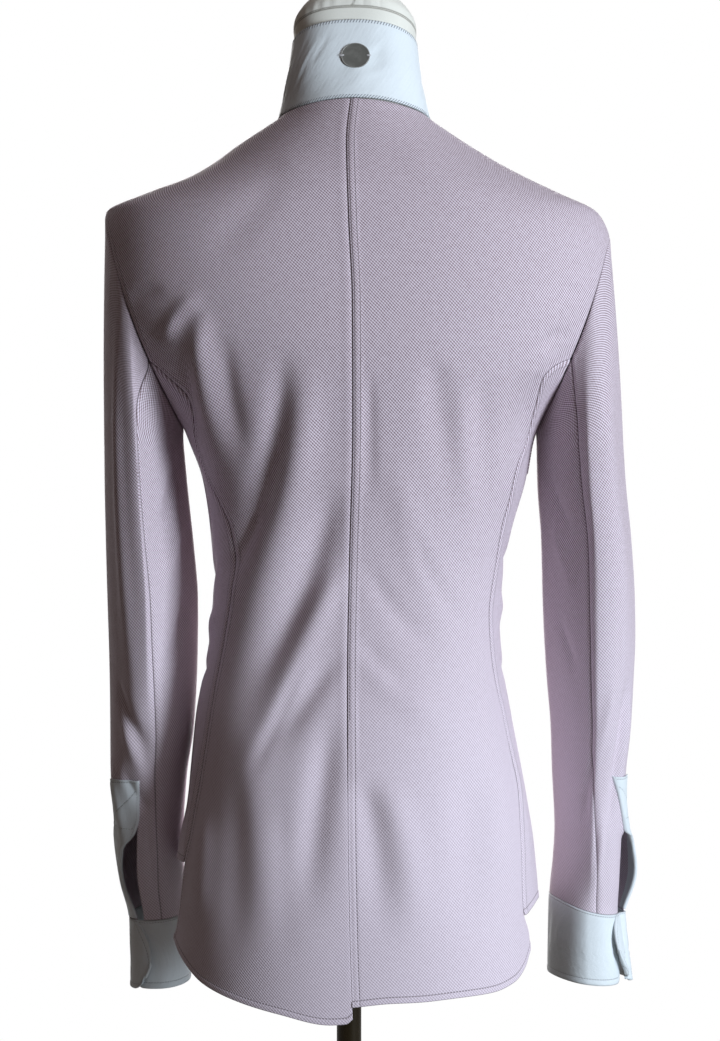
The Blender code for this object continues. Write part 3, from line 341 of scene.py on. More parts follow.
# Creases: a curve's start, bend and end, its half width, and how far it stands out (a trough is negative).
# On the back and front they are given by the distance from the middle towards the wearer's left, and
# the height.
BACK_CREASES = (
    # from the left shoulder blade down to the waist
    (0.053, 1.206, 0.061, 1.130, 0.087, 1.046, 0.0105, -0.0048),
    (0.034, 1.200, 0.051, 1.085, 0.098, 0.962, 0.0150, 0.0058),
    (0.014, 1.106, 0.038, 1.030, 0.089, 0.912, 0.0125, -0.0060),
    (0.066, 1.093, 0.081, 1.062, 0.098, 1.026, 0.0065, -0.0032),
    (0.008, 1.050, 0.036, 0.994, 0.078, 0.925, 0.0105, 0.0040),
    (0.008, 0.985, 0.038, 0.944, 0.066, 0.906, 0.0095, -0.0034),
    (0.020, 1.006, 0.052, 0.950, 0.080, 0.895, 0.0080, 0.0012),
    (0.030, 0.985, 0.058, 0.930, 0.078, 0.880, 0.0045, -0.0014),
    (0.048, 1.150, 0.066, 1.092, 0.074, 1.058, 0.0045, 0.0014),
    # the left tail
    (0.016, 0.940, 0.027, 0.866, 0.039, 0.775, 0.0115, -0.0044),
    (0.088, 0.900, 0.086, 0.820, 0.094, 0.745, 0.0120, -0.0020),
    (0.072, 0.930, 0.074, 0.868, 0.062, 0.770, 0.0160, 0.0022),
    (0.052, 0.880, 0.052, 0.820, 0.050, 0.750, 0.0090, -0.0010),
    (0.112, 0.880, 0.114, 0.820, 0.120, 0.775, 0.0075, 0.0024),
    # the right tail
    (-0.002, 0.890, -0.014, 0.850, -0.021, 0.765, 0.0110, -0.0030),
    (-0.018, 0.890, -0.036, 0.840, -0.044, 0.760, 0.0130, 0.0026),
    (-0.004, 0.982, -0.036, 0.948, -0.088, 0.920, 0.0110, 0.0020),
    (-0.003, 0.992, -0.022, 0.968, -0.048, 0.945, 0.0080, -0.0017),
    (-0.080, 0.900, -0.084, 0.840, -0.082, 0.760, 0.0140, -0.0022),
    (-0.104, 0.905, -0.110, 0.850, -0.112, 0.790, 0.0120, 0.0020),
    # the right half of the back
    (-0.062, 1.194, -0.062, 1.160, -0.082, 1.060, 0.0115, -0.0024),
    (-0.097, 1.190, -0.095, 1.130, -0.100, 1.060, 0.0090, -0.0022),
    (-0.080, 1.185, -0.080, 1.130, -0.092, 1.060, 0.0090, 0.0016),
    (-0.011, 1.190, -0.011, 1.140, -0.010, 1.080, 0.0050, -0.0016),
    (-0.030, 1.130, -0.046, 1.060, -0.084, 0.985, 0.0130, 0.0020),
    (-0.040, 1.080, -0.060, 1.030, -0.092, 0.990, 0.0070, -0.0016),
    (-0.008, 1.050, -0.030, 1.010, -0.070, 0.975, 0.0080, -0.0016),
    # at the left armhole
    (0.145, 1.200, 0.130, 1.230, 0.108, 1.240, 0.0055, 0.0030),
    (0.107, 1.236, 0.113, 1.182, 0.090, 1.095, 0.0090, 0.0048),
    (0.124, 1.205, 0.125, 1.170, 0.116, 1.135, 0.0085, -0.0042),
    (0.160, 1.218, 0.148, 1.214, 0.134, 1.200, 0.0040, -0.0018),
    (0.094, 1.215, 0.092, 1.170, 0.080, 1.120, 0.0070, -0.0022),
    (0.168, 1.240, 0.156, 1.246, 0.138, 1.246, 0.0050, -0.0016),
    # at the right armhole
    (-0.160, 1.215, -0.148, 1.212, -0.128, 1.190, 0.0050, -0.0022),
    (-0.150, 1.205, -0.136, 1.192, -0.120, 1.150, 0.0065, 0.0026),
    (-0.140, 1.190, -0.130, 1.170, -0.122, 1.130, 0.0050, -0.0026),
    (-0.172, 1.245, -0.156, 1.245, -0.136, 1.232, 0.0060, -0.0014),
    # below the collar
    (0.060, 1.352, 0.030, 1.330, -0.020, 1.322, 0.0100, 0.0010),
    (-0.030, 1.360, -0.060, 1.330, -0.110, 1.300, 0.0110, 0.0010),
    (0.050, 1.330, 0.080, 1.300, 0.112, 1.262, 0.0120, -0.0014),
)
FRONT_CREASES = (
    (0.110, 1.215, 0.090, 1.190, 0.060, 1.180, 0.0090, -0.0022),
    (-0.112, 1.210, -0.085, 1.188, -0.055, 1.182, 0.0080, -0.0020),
    (0.118, 1.150, 0.090, 1.120, 0.050, 1.110, 0.0100, 0.0018),
    (-0.120, 1.145, -0.092, 1.110, -0.045, 1.096, 0.0110, 0.0020),
    (0.055, 1.100, 0.062, 1.010, 0.078, 0.930, 0.0110, -0.0030),
    (-0.050, 1.090, -0.060, 1.010, -0.074, 0.925, 0.0100, -0.0028),
    (0.036, 1.080, 0.036, 1.000, 0.048, 0.900, 0.0100, 0.0024),
    (-0.034, 1.070, -0.038, 0.985, -0.050, 0.890, 0.0110, 0.0022),
    (0.062, 0.910, 0.070, 0.840, 0.074, 0.760, 0.0130, -0.0036),
    (-0.060, 0.905, -0.066, 0.830, -0.080, 0.765, 0.0120, -0.0034),
    (0.094, 0.900, 0.100, 0.840, 0.104, 0.780, 0.0100, 0.0028),
    (-0.092, 0.900, -0.096, 0.840, -0.102, 0.775, 0.0110, 0.0026),
    (0.034, 0.860, 0.036, 0.810, 0.034, 0.755, 0.0090, 0.0020),
    (-0.030, 0.870, -0.036, 0.815, -0.040, 0.755, 0.0080, -0.0018),
    (0.020, 1.330, 0.060, 1.312, 0.110, 1.290, 0.0100, 0.0012),
    (-0.024, 1.328, -0.060, 1.310, -0.112, 1.282, 0.0090, 0.0012),
    (0.120, 1.010, 0.080, 0.990, 0.034, 1.004, 0.0060, -0.0014),
    (-0.110, 1.030, -0.070, 1.008, -0.030, 1.020, 0.0060, -0.0012),
)
# On the sides they are given by the distance towards the back, and the height.
SIDE_CREASES = {
    LEFT: (
        (0.030, 1.060, 0.000, 1.030, -0.040, 1.020, 0.0070, -0.0024),
        (0.040, 1.010, 0.004, 0.996, -0.036, 0.980, 0.0075, 0.0024),
        (0.036, 0.975, 0.000, 0.960, -0.040, 0.955, 0.0060, -0.0020),
        (0.020, 0.940, 0.016, 0.890, 0.020, 0.830, 0.0090, -0.0032),
        (-0.020, 0.930, -0.024, 0.880, -0.030, 0.820, 0.0090, 0.0026),
        (0.044, 0.920, 0.046, 0.870, 0.050, 0.815, 0.0080, 0.0022),
        (0.010, 1.130, 0.016, 1.090, 0.012, 1.050, 0.0060, -0.0020),
    ),
    RIGHT: (
        (0.034, 1.070, 0.000, 1.044, -0.036, 1.040, 0.0070, -0.0020),
        (0.036, 1.020, 0.000, 1.008, -0.040, 0.990, 0.0075, 0.0022),
        (0.030, 0.972, -0.004, 0.960, -0.040, 0.962, 0.0060, -0.0018),
        (0.014, 0.940, 0.010, 0.880, 0.016, 0.800, 0.0090, -0.0028),
        (-0.026, 0.930, -0.030, 0.870, -0.034, 0.800, 0.0090, 0.0024),
        (0.042, 0.920, 0.046, 0.860, 0.050, 0.800, 0.0080, 0.0018),
    ),
}
# On a sleeve they are given by the cloth round it, from the edge next to the body by way of the back,
# and the height.
SLEEVE_CREASES = {
    LEFT: (
        (0.088, 1.240, 0.096, 1.080, 0.084, 0.905, 0.0075, 0.0034),
        (0.060, 1.190, 0.062, 1.100, 0.056, 1.000, 0.0100, -0.0020),
        (0.112, 0.960, 0.090, 0.925, 0.062, 0.895, 0.0060, -0.0030),
        (0.104, 0.930, 0.084, 0.900, 0.060, 0.868, 0.0065, 0.0026),
        (0.098, 0.890, 0.078, 0.866, 0.054, 0.850, 0.0050, -0.0022),
        (0.120, 0.900, 0.100, 0.850, 0.092, 0.800, 0.0060, 0.0020),
        (0.066, 0.850, 0.064, 0.815, 0.062, 0.775, 0.0050, -0.0016),
        (0.010, 1.130, 0.030, 1.090, 0.060, 1.060, 0.0070, -0.0024),
        (0.008, 1.090, 0.030, 1.050, 0.056, 1.026, 0.0070, 0.0022),
        (0.012, 1.020, 0.034, 0.985, 0.050, 0.960, 0.0060, -0.0018),
        (0.170, 1.230, 0.180, 1.130, 0.176, 1.000, 0.0120, 0.0030),
        (0.200, 1.210, 0.206, 1.120, 0.200, 1.000, 0.0100, -0.0030),
        (0.150, 0.990, 0.180, 0.950, 0.220, 0.935, 0.0070, -0.0028),
        (0.160, 0.955, 0.190, 0.920, 0.230, 0.905, 0.0075, 0.0026),
        (0.150, 0.900, 0.176, 0.870, 0.210, 0.860, 0.0060, -0.0022),
        (0.230, 1.160, 0.250, 1.120, 0.272, 1.100, 0.0070, -0.0020),
        (0.160, 0.850, 0.164, 0.815, 0.166, 0.776, 0.0060, 0.0016),
        (0.200, 0.850, 0.204, 0.810, 0.206, 0.776, 0.0060, -0.0016),
    ),
    RIGHT: (
        (0.086, 1.230, 0.096, 1.080, 0.098, 0.930, 0.0130, 0.0026),
        (0.112, 1.220, 0.120, 1.080, 0.118, 0.940, 0.0100, -0.0020),
        (0.056, 1.180, 0.060, 1.090, 0.058, 0.990, 0.0090, -0.0020),
        (0.112, 0.965, 0.101, 0.895, 0.090, 0.822, 0.0065, -0.0056),
        (0.118, 0.945, 0.108, 0.900, 0.094, 0.850, 0.0070, 0.0026),
        (0.094, 0.965, 0.080, 0.920, 0.066, 0.880, 0.0060, 0.0016),
        (0.072, 0.905, 0.062, 0.870, 0.056, 0.835, 0.0055, -0.0018),
        (0.084, 0.850, 0.080, 0.815, 0.076, 0.775, 0.0055, 0.0014),
        (0.010, 1.125, 0.030, 1.085, 0.056, 1.060, 0.0070, -0.0022),
        (0.010, 1.080, 0.030, 1.045, 0.052, 1.022, 0.0070, 0.0020),
        (0.014, 1.010, 0.034, 0.980, 0.050, 0.955, 0.0060, -0.0018),
        (0.168, 1.220, 0.176, 1.120, 0.172, 0.995, 0.0120, 0.0028),
        (0.198, 1.210, 0.204, 1.115, 0.198, 0.995, 0.0100, -0.0026),
        (0.148, 0.985, 0.178, 0.948, 0.216, 0.930, 0.0070, -0.0024),
        (0.160, 0.950, 0.190, 0.915, 0.228, 0.900, 0.0075, 0.0024),
        (0.150, 0.895, 0.178, 0.866, 0.210, 0.856, 0.0060, -0.0020),
        (0.232, 1.150, 0.250, 1.115, 0.270, 1.096, 0.0070, -0.0018),
        (0.176, 0.850, 0.178, 0.815, 0.180, 0.776, 0.0060, 0.0014),
        (0.214, 0.850, 0.216, 0.810, 0.218, 0.776, 0.0060, -0.0014),
    ),
}


def half_width(side, z):
    return TORSO_AT["left" if side == LEFT else "right"](z)


def section_point(theta, z):
    """The torso's surface, eased across the chest and back and crisp at the shoulder points."""
    eased = sum(level_point(theta, z + step) for step in EASE_STEPS) / len(EASE_STEPS)
    inward = smooth((np.abs(np.sin(theta)) - 0.20) / 0.35) * smooth((z - 1.27) / 0.02)
    inward = inward * smooth((1.40 - z) / 0.03)
    return mix(level_point(theta, z), eased, inward[..., None])


def level_point(theta, z):
    """The smooth torso at an angle from the wearer's left towards the back."""
    c, s = np.cos(theta), np.sin(theta)
    behind = s >= 0
    wide = np.where(c >= 0, half_width(LEFT, z), half_width(RIGHT, z))
    deep = np.where(behind, TORSO_AT["back"](z), TORSO_AT["front"](z))
    power = np.where(behind, TORSO_AT["square_back"](z), TORSO_AT["square_front"](z))
    radius = ((np.abs(c) / wide) ** power + (np.abs(s) / deep) ** power) ** (-1 / power)
    return points(GARMENT_X + radius * c, radius * s, z)


def section_normal(theta, z):
    around = section_point(theta + 1e-3, z) - section_point(theta - 1e-3, z)
    up = section_point(theta, z + 5e-4) - section_point(theta, z - 5e-4)
    return unit(np.cross(around, up))


def crease_height(creases, a, b):
    """How far soft troughs and ridges move the cloth, at places given by two coordinates.

    Each crease is a curve from its start to its end by way of a bend. It fades in and out along its
    length, and its sides are bell shaped.
    """
    total = np.zeros(np.broadcast(a, b).shape)
    for ax, ay, bx, by, cx, cy, width, height in creases:
        t = np.linspace(0, 1, 11)
        line_x = (1 - t) ** 2 * ax + 2 * t * (1 - t) * (2 * bx - (ax + cx) / 2) + t * t * cx
        line_y = (1 - t) ** 2 * ay + 2 * t * (1 - t) * (2 * by - (ay + cy) / 2) + t * t * cy
        reach = 3 * width
        near = (a > line_x.min() - reach) & (a < line_x.max() + reach)
        near &= (b > line_y.min() - reach) & (b < line_y.max() + reach)
        if not near.any():
            continue
        px, py = a[near], b[near]
        best, along = np.full(px.shape, 9.0), np.zeros(px.shape)
        for i in range(10):
            dx, dy = line_x[i + 1] - line_x[i], line_y[i + 1] - line_y[i]
            s = np.clip(((px - line_x[i]) * dx + (py - line_y[i]) * dy) / (dx * dx + dy * dy), 0, 1)
            off = np.hypot(px - line_x[i] - s * dx, py - line_y[i] - s * dy)
            closer = off < best
            best, along = np.where(closer, off, best), np.where(closer, (i + s) / 10, along)
        spread = width * (0.75 + 0.5 * along)
        raised = height * bell(best, spread) * smooth(along * 2.6 + 0.06)
        total[near] += raised * smooth((1 - along) * 2.4 + 0.06)
    return total


def torso_height(theta, point):
    """The height of the body's folds: on the back and front by distance across, on the sides by depth."""
    across, y, z = point[..., 0] - GARMENT_X, point[..., 1], point[..., 2]
    s = np.sin(theta)
    back = crease_height(BACK_CREASES, across, z) * smooth((s - 0.12) * 4)
    front = crease_height(FRONT_CREASES, across, z) * smooth((-s - 0.2) * 4)
    edge = smooth((0.7 - np.abs(s)) * 3)
    left = crease_height(SIDE_CREASES[LEFT], y, z) * edge * (np.cos(theta) > 0)
    right = crease_height(SIDE_CREASES[RIGHT], y, z) * edge * (np.cos(theta) < 0)
    return back + front + left + right


def torso_point(theta, z):
    point = section_point(theta, z)
    return point + section_normal(theta, z) * torso_height(theta, point)[..., None]


def side_angle_of(side, theta):
    """An angle from a side towards the back, for one from the wearer's left."""
    return theta if side == LEFT else np.where(theta > 0, pi - theta, -pi - theta)


def side_angle(side, face, x, z):
    """The side angle of the torso's point at a distance from the middle, on the back or the front."""
    power = TORSO_AT["square_" + face](z)
    share = np.clip(x / half_width(side, z), 0, 1)
    depth = TORSO_AT[face](z) * np.maximum(1 - share**power, 0) ** (1 / power)
    return side_angle_of(side, np.arctan2(depth if face == "back" else -depth, side * x))


def around_from(side, angle):
    """An angle measured from the wearer's left, for one measured from a side towards the back."""
    return angle if side == LEFT else pi - angle


def armhole_x(side, z):
    hole = ARMHOLE[side]
    c = (z - hole["under_z"]) / (hole["top_z"] - hole["under_z"])
    return mix(hole["under_x"], hole["top_x"], c) + hole["bow"] * np.sin(pi * c)


def armhole_side_angle(side, face, z):
    return side_angle(side, face, armhole_x(side, z), z)


def neck_z(theta):
    dip = NECK_DIP * np.maximum(-np.sin(theta), 0) ** 1.6
    return NECK_Z - dip - NECK_SLOPE * np.abs(np.cos(theta)) ** 2.4


def shoulder_angle(side, z):
    top = ARMHOLE[side]["top_z"]
    return -SHOULDER_SEAM * smooth((z - top) / (NECK_Z - top) * 1.2)


def gape(side, phi, z):
    """How far the open slit's front edge pushes the cloth outwards."""
    turn = (phi - np.radians(SLIT_AT[side]["line"](z))) / radians(42)
    push = SLIT_AT[side]["out"](z) * bell(turn, 1) * smooth((turn + 0.1) * 5) * smooth((0.885 - z) / 0.05)
    return np.where(turn < -0.1, 0, push)


def sleeve_ring(side, phi, z):
    """The sleeve's level section below the underarm."""
    at = SLEEVE_AT[side]
    outer, inner = at["outer"](z), at["inner"](z)
    wide, deep, power = (outer - inner) / 2, at["depth"](z), at["square"](z)
    c, s = -np.cos(phi), np.sin(phi)
    flat_in, flat_out = SLEEVE_FLATS[side]
    flat_away = mix(power, flat_out, smooth((z - 0.86) / 0.1))
    power = np.where(s > 0, np.where(c < 0, flat_in(z), flat_away), power)
    radius = (np.abs(c) ** power + np.abs(s) ** power) ** (-1 / power)
    x = (outer + inner) / 2 + wide * radius * c + gape(side, phi, z)
    back = CUFF_SWING[side] * smooth((0.99 - z) / 0.12)
    tilt = CUFF_TILT[side] * ((1 + np.cos(phi)) / 2) ** 1.4 * smooth((0.850 - z) / 0.080)
    tilt = tilt * mix(0.45, 1, smooth((z - 0.711) / 0.055))
    return points(GARMENT_X + side * x, at["middle"](z) + back + deep * radius * s, z + tilt)


def armhole_spot(side, phi):
    """The armhole's torso angle and height, at the sleeve's angle."""
    hole = ARMHOLE[side]
    z = mix(hole["under_z"], hole["top_z"], (1 - np.cos(phi)) / 2)
    back, front = armhole_side_angle(side, "back", z), armhole_side_angle(side, "front", z)
    return around_from(side, np.where(np.sin(phi) >= 0, back, front)), z


def sleeve_base(side, phi, drop):
    """The sleeve's outer face: drop goes from 0 at the armhole to 1 at the underarm and 2 at the cuff."""
    low = sleeve_ring(side, phi, mix(SLEEVE_TOP[side], SLEEVE_END, np.maximum(drop - 1, 0)))
    theta, z = armhole_spot(side, phi)
    start = section_point(theta, z)
    start = start + section_normal(theta, z) * torso_height(theta, start)[..., None]
    swell = np.sin(pi * np.minimum(drop, 1))
    out = points(side * CAP_BULGE * swell * (1 - np.cos(phi)) / 2, np.sin(phi) * CAP_BULGE * swell, 0 * phi)
    seat = sleeve_ring(side, phi, SLEEVE_TOP[side] + 0 * phi)
    high = mix(start, seat, np.minimum(drop, 1)[..., None]) + out
    return np.where((drop >= 1)[..., None], low, high)


def sleeve_point(side, phi, drop):
    point = sleeve_base(side, phi, drop)
    down = sleeve_base(side, phi, drop + 4e-3) - sleeve_base(side, phi, np.maximum(drop - 4e-3, 0))
    around = sleeve_base(side, phi + 2e-3, drop) - sleeve_base(side, phi - 2e-3, drop)
    normal = unit(np.cross(around, down)) * side
    wound = np.mod(phi, tau)
    height = crease_height(SLEEVE_CREASES[side], wound * SLEEVE_REACH, point[..., 2])
    height += crease_height(SLEEVE_CREASES[side], (wound - tau) * SLEEVE_REACH, point[..., 2])
    return point + normal * (height * smooth(drop * 3) * smooth((2.02 - drop) * 10))[..., None]


def centre_back_angle(side, z):
    x = CENTRE_BACK_AT(z)
    left, right = side_angle(LEFT, "back", np.abs(x), z), pi - side_angle(RIGHT, "back", np.abs(x), z)
    return side_angle_of(side, np.where(x > 0, left, right))


def side_back_angle(side, z):
    return side_angle(side, "back", SIDE_BACK_AT[side](z), z)


def side_front_angle(side, z):
    meet = armhole_side_angle(side, "front", FRONT_ARM_Z)
    share = (z - SIDE_FRONT_BLEND) / (FRONT_ARM_Z - SIDE_FRONT_BLEND)
    return mix(-np.radians(SIDE_FRONT_AT(z)), meet, smooth(share))


def cap_angle(side, face, z):
    """The sleeve's angle at a height of the armhole."""
    hole = ARMHOLE[side]
    c = np.clip((z - hole["under_z"]) / (hole["top_z"] - hole["under_z"]), 0, 1)
    phi = 2 * np.arcsin(c**0.5)
    return phi if face == "back" else tau - phi


def back_seam_angle(side, drop):
    start = cap_angle(side, "back", SIDE_BACK_TOP[side])
    low = np.radians(BACK_SEAM_AT[side](mix(SLEEVE_TOP[side], SLEEVE_END, np.maximum(drop - 1, 0))))
    high = mix(start, radians(BACK_SEAM[side]["angle"][-1]), smooth(drop * 1.2))
    return np.where(drop < 1, high, low)


def front_seam_angle(side, drop):
    return mix(cap_angle(side, "front", FRONT_ARM_Z), radians(FRONT_SEAM), smooth(drop))


CENTRE_BACK_AT = spline(CENTRE_BACK["z"], CENTRE_BACK["x"])
SIDE_FRONT_AT = spline(SIDE_FRONT["z"], SIDE_FRONT["angle"])
SIDE_FRONT_BLEND = 1.120  # above this the side-front seam turns towards its place on the armhole
SIDE_BACK_TOP = {side: float(rows["z"][-1]) for side, rows in SIDE_BACK.items()}
SIDE_BACK_AT = {
    side: spline(rows["z"], np.append(rows["x"][:-1], armhole_x(side, SIDE_BACK_TOP[side])))
    for side, rows in SIDE_BACK.items()
}
HEM_AT = {key: spline(rows["along"], rows["z"]) for key, rows in HEM.items()}
BACK_SEAM_AT = {side: spline(rows["z"], rows["angle"]) for side, rows in BACK_SEAM.items()}


# Materials


class Look:
    """A material, with short ways to add and join its nodes."""

    def __init__(self, name, colour, roughness, metallic=0.0):
        self.made = bpy.data.materials.new(name)
        self.made.use_nodes = True
        self.tree = self.made.node_tree
        self.shader = self.tree.nodes["Principled BSDF"]
        self.colour = colour
        self.set(self.shader, Roughness=roughness, Metallic=metallic)
        self.shader.inputs["Base Color"].default_value = (*colour, 1)

    def set(self, node, **values):
        for name, value in values.items():
            node.inputs[name.replace("_", " ")].default_value = value

    def join(self, value, socket):
        if isinstance(value, (int, float, tuple)):
            socket.default_value = value
        else:
            self.tree.links.new(value, socket)

    def math(self, operation, *values, clamp=False):
        node = self.tree.nodes.new("ShaderNodeMath")
        node.operation, node.use_clamp = operation, clamp
        for value, socket in zip(values, node.inputs):
            self.join(value, socket)
        return node.outputs[0]

    def band(self, value, low, high, to_low=0.0, to_high=1.0):
        """The value eased from one range to another."""
        node = self.tree.nodes.new("ShaderNodeMapRange")
        node.interpolation_type = "SMOOTHSTEP"
        for item, socket in zip((value, low, high, to_low, to_high), node.inputs):
            self.join(item, socket)
        return node.outputs[0]

    def parts_of(self, vector):
        node = self.tree.nodes.new("ShaderNodeSeparateXYZ")
        self.join(vector, node.inputs[0])
        return node.outputs

    def uv(self):
        node = self.tree.nodes.new("ShaderNodeUVMap")
        node.uv_map = "cloth"
        return node.outputs[0]

    def place(self):
        return self.tree.nodes.new("ShaderNodeTexCoord").outputs["Object"]

    def attribute(self, name):
        node = self.tree.nodes.new("ShaderNodeAttribute")
        node.attribute_name = name
        return node

    def noise(self, vector, scale, detail=2.0, roughness=0.5):
        node = self.tree.nodes.new("ShaderNodeTexNoise")
        self.join(vector, node.inputs["Vector"])
        self.set(node, Scale=scale, Detail=detail, Roughness=roughness)
        return node.outputs["Fac"]

    def wave(self, u, v, across, up, shift=None):
        """A sine from 0 to 1 that runs so many times a metre across and up."""
        phase = self.math("ADD", self.math("MULTIPLY", u, across * tau), self.math("MULTIPLY", v, up * tau))
        if shift is not None:
            phase = self.math("ADD", phase, shift)
        return self.math("MULTIPLY_ADD", self.math("SINE", phase), 0.5, 0.5)

    def shade(self, amount, dark):
        """The base colour, darkened towards another where the amount is 1."""
        node = self.tree.nodes.new("ShaderNodeMix")
        node.data_type = "RGBA"
        self.join(amount, node.inputs["Factor"])
        socket = node.inputs[6]
        if isinstance(self.colour, tuple):
            socket.default_value = (*self.colour, 1)
        else:
            self.join(self.colour, socket)
        node.inputs[7].default_value = (*dark, 1)
        self.colour = node.outputs[2]
        self.join(self.colour, self.shader.inputs["Base Color"])

    def rough(self, amount, low, high):
        self.join(self.band(amount, 0.0, 1.0, low, high), self.shader.inputs["Roughness"])

    def bump(self, height, depth, strength=1.0):
        node = self.tree.nodes.new("ShaderNodeBump")
        self.set(node, Strength=strength, Distance=depth)
        self.join(height, node.inputs["Height"])
        earlier = self.shader.inputs["Normal"]
        if earlier.is_linked:
            self.join(earlier.links[0].from_socket, node.inputs["Normal"])
        self.join(node.outputs[0], earlier)


def stitches(look, u, v, length, half_width):
    """1 on the stitch lines held in the piece's own attribute, in dashes of a length."""
    held = look.attribute("stitch")
    upright = look.math("FRACT", look.math("MULTIPLY", v, 1 / length))
    level = look.math("FRACT", look.math("MULTIPLY", u, 1 / length))
    dash = []
    for run in (upright, level):
        middle = look.math("ABSOLUTE", look.math("SUBTRACT", run, 0.5))
        dash.append(look.band(middle, 0.30, 0.44, 1.0, 0.12))
    lines = list(look.parts_of(held.outputs["Color"])) + [held.outputs["Alpha"]]
    found = None
    for index, line in enumerate(lines):
        near = look.band(look.math("ABSOLUTE", line), half_width * 0.4, half_width, 1.0, 0.0)
        near = look.math("MULTIPLY", near, dash[1 if index == 2 else 0])
        found = near if found is None else look.math("MAXIMUM", found, near)
    return found


def seams(look, half_width):
    """1 along the piece's own edges: the mask for the shade painted into the seams."""
    held = look.attribute("seam").outputs["Fac"]
    return look.band(held, half_width * 0.3, half_width, 1.0, 0.0)


def shirt_cloth():
    """A fine mesh of dots in two crossing rows, paler where it stands proud and painted darker, as shade, in
    the sunken dots.
    """
    look = Look("shirt_cloth", (0.820, 0.725, 0.810), 0.62)
    look.set(look.shader, Specular_IOR_Level=0.10)
    uv = look.uv()
    u, v = look.parts_of(uv)[:2]
    wander = look.math("MULTIPLY", look.noise(uv, 130.0, 2.0), 2.0)
    rows = look.wave(u, v, -415, 415, wander)
    cross = look.wave(u, v, -420, -300, wander)
    weave = look.math("ADD", look.math("MULTIPLY", rows, 0.66), look.math("MULTIPLY", cross, 0.34))
    uneven = look.band(look.noise(uv, 240.0, 1.0), 0.2, 0.8, 0.82, 1.0)
    # The dark dots are painted shade in the weave's hollows, in a warm dark colour.
    dots = look.math("MULTIPLY", look.band(weave, 0.10, 0.90, 1.0, 0.0), uneven)
    # Lower down the dots fade, so the cloth is painted darker towards the top: partly the weave's look,
    # partly painted shade from how the light fell across it.
    height = look.parts_of(look.place())[2]
    dots = look.math("MULTIPLY", dots, look.band(height, 0.84, 1.16, 0.52, 1.0))
    patchy = look.noise(uv, 9.0, 3.0)
    look.shade(dots, (0.225, 0.150, 0.168))
    look.shade(look.band(patchy, 0.4, 0.8, 0.0, 0.04), (0.60, 0.48, 0.50))
    sewn = stitches(look, u, v, 0.0024, 0.00055)
    # Stitch rows are darkened as painted shade in their pressed line, on top of their bump.
    look.shade(look.math("MULTIPLY", sewn, 0.62), (0.16, 0.13, 0.14))
    # The piece's edges are darkened as painted shade in the seams.
    look.shade(look.math("MULTIPLY", seams(look, 0.0007), 0.45), (0.12, 0.10, 0.105))
    look.rough(weave, 0.70, 0.56)
    look.bump(weave, 0.00030, 0.5)
    look.bump(look.math("SUBTRACT", 1.0, sewn), 0.0004, 0.7)
    return look.made


def white_cotton():
    """Crisp cotton, with fine upright crumples and short stitches square to the collar's edges."""
    look = Look("white_cotton", (0.790, 0.845, 0.870), 0.72)
    look.set(look.shader, Specular_IOR_Level=0.2)
    uv = look.uv()
    u, v = look.parts_of(uv)[:2]
    weave = look.math("MULTIPLY", look.wave(u, v, 1300, 0), look.wave(u, v, 0, 1300))
    stretched = look.tree.nodes.new("ShaderNodeVectorMath")
    stretched.operation = "MULTIPLY"
    look.join(uv, stretched.inputs[0])
    stretched.inputs[1].default_value = (1.0, 0.16, 1.0)
    streaks = look.noise(stretched.outputs[0], 420.0, 3.0)
    crumple = look.noise(uv, 75.0, 4.0)
    look.shade(look.math("MULTIPLY", look.noise(uv, 480.0, 2.0), 0.10), (0.50, 0.53, 0.56))
    # The upright streaks are darkened as painted shade in the crumples, as well as bumped.
    look.shade(look.band(streaks, 0.45, 0.75, 0.0, 0.10), (0.55, 0.58, 0.60))
    sewn = stitches(look, u, v, 0.0022, 0.0005)
    # The whip mask marks the teeth of the stitches along the collar's edges, for painted shade in their
    # slits.
    whip = look.band(look.attribute("whip").outputs["Fac"], 0.0021, 0.0027, 1.0, 0.0)
    along = look.math("FRACT", look.math("MULTIPLY", u, WHIP_STITCHES))
    tooth = look.band(look.math("ABSOLUTE", look.math("SUBTRACT", along, 0.5)), 0.10, 0.22, 1.0, 0.0)
    whip = look.math("MULTIPLY", whip, tooth)
    # Stitch rows and whip-stitch slits are darkened as painted shade in their pressed lines.
    look.shade(look.math("MULTIPLY", sewn, 0.5), (0.30, 0.31, 0.33))
    look.shade(look.math("MULTIPLY", whip, 0.75), (0.15, 0.16, 0.19))
    sewn = look.math("MAXIMUM", sewn, whip)
    # The piece's edges are darkened as painted shade in the seams.
    look.shade(look.math("MULTIPLY", seams(look, 0.0005), 0.25), (0.30, 0.30, 0.31))
    look.rough(weave, 0.64, 0.78)
    look.bump(weave, 0.00010, 0.5)
    look.bump(streaks, 0.0006, 0.35)
    look.bump(crumple, 0.0014, 0.35)
    look.bump(look.math("SUBTRACT", 1.0, sewn), 0.0004, 0.8)
    return look.made


def form_cloth():
    look = Look("form_cloth", (0.830, 0.815, 0.735), 0.85)
    look.set(look.shader, Sheen_Weight=0.2)
    place = look.place()
    x, y, z = look.parts_of(place)
    knit = look.math("MULTIPLY", look.wave(x, z, 700, 500), look.wave(y, z, 700, -500))
    fuzz = look.noise(place, 700.0, 3.0)
    look.shade(look.math("MULTIPLY", fuzz, 0.25), (0.66, 0.66, 0.60))
    look.shade(look.band(look.noise(place, 14.0, 3.0), 0.4, 0.8, 0.0, 0.2), (0.72, 0.74, 0.70))
    seam = look.band(look.attribute("seam").outputs["Fac"], 0.0003, 0.0014, 1.0, 0.0)
    look.shade(look.math("MULTIPLY", seam, 0.7), (0.16, 0.14, 0.11))
    look.bump(knit, 0.00015, 0.5)
    look.bump(fuzz, 0.0002, 0.4)
    return look.made


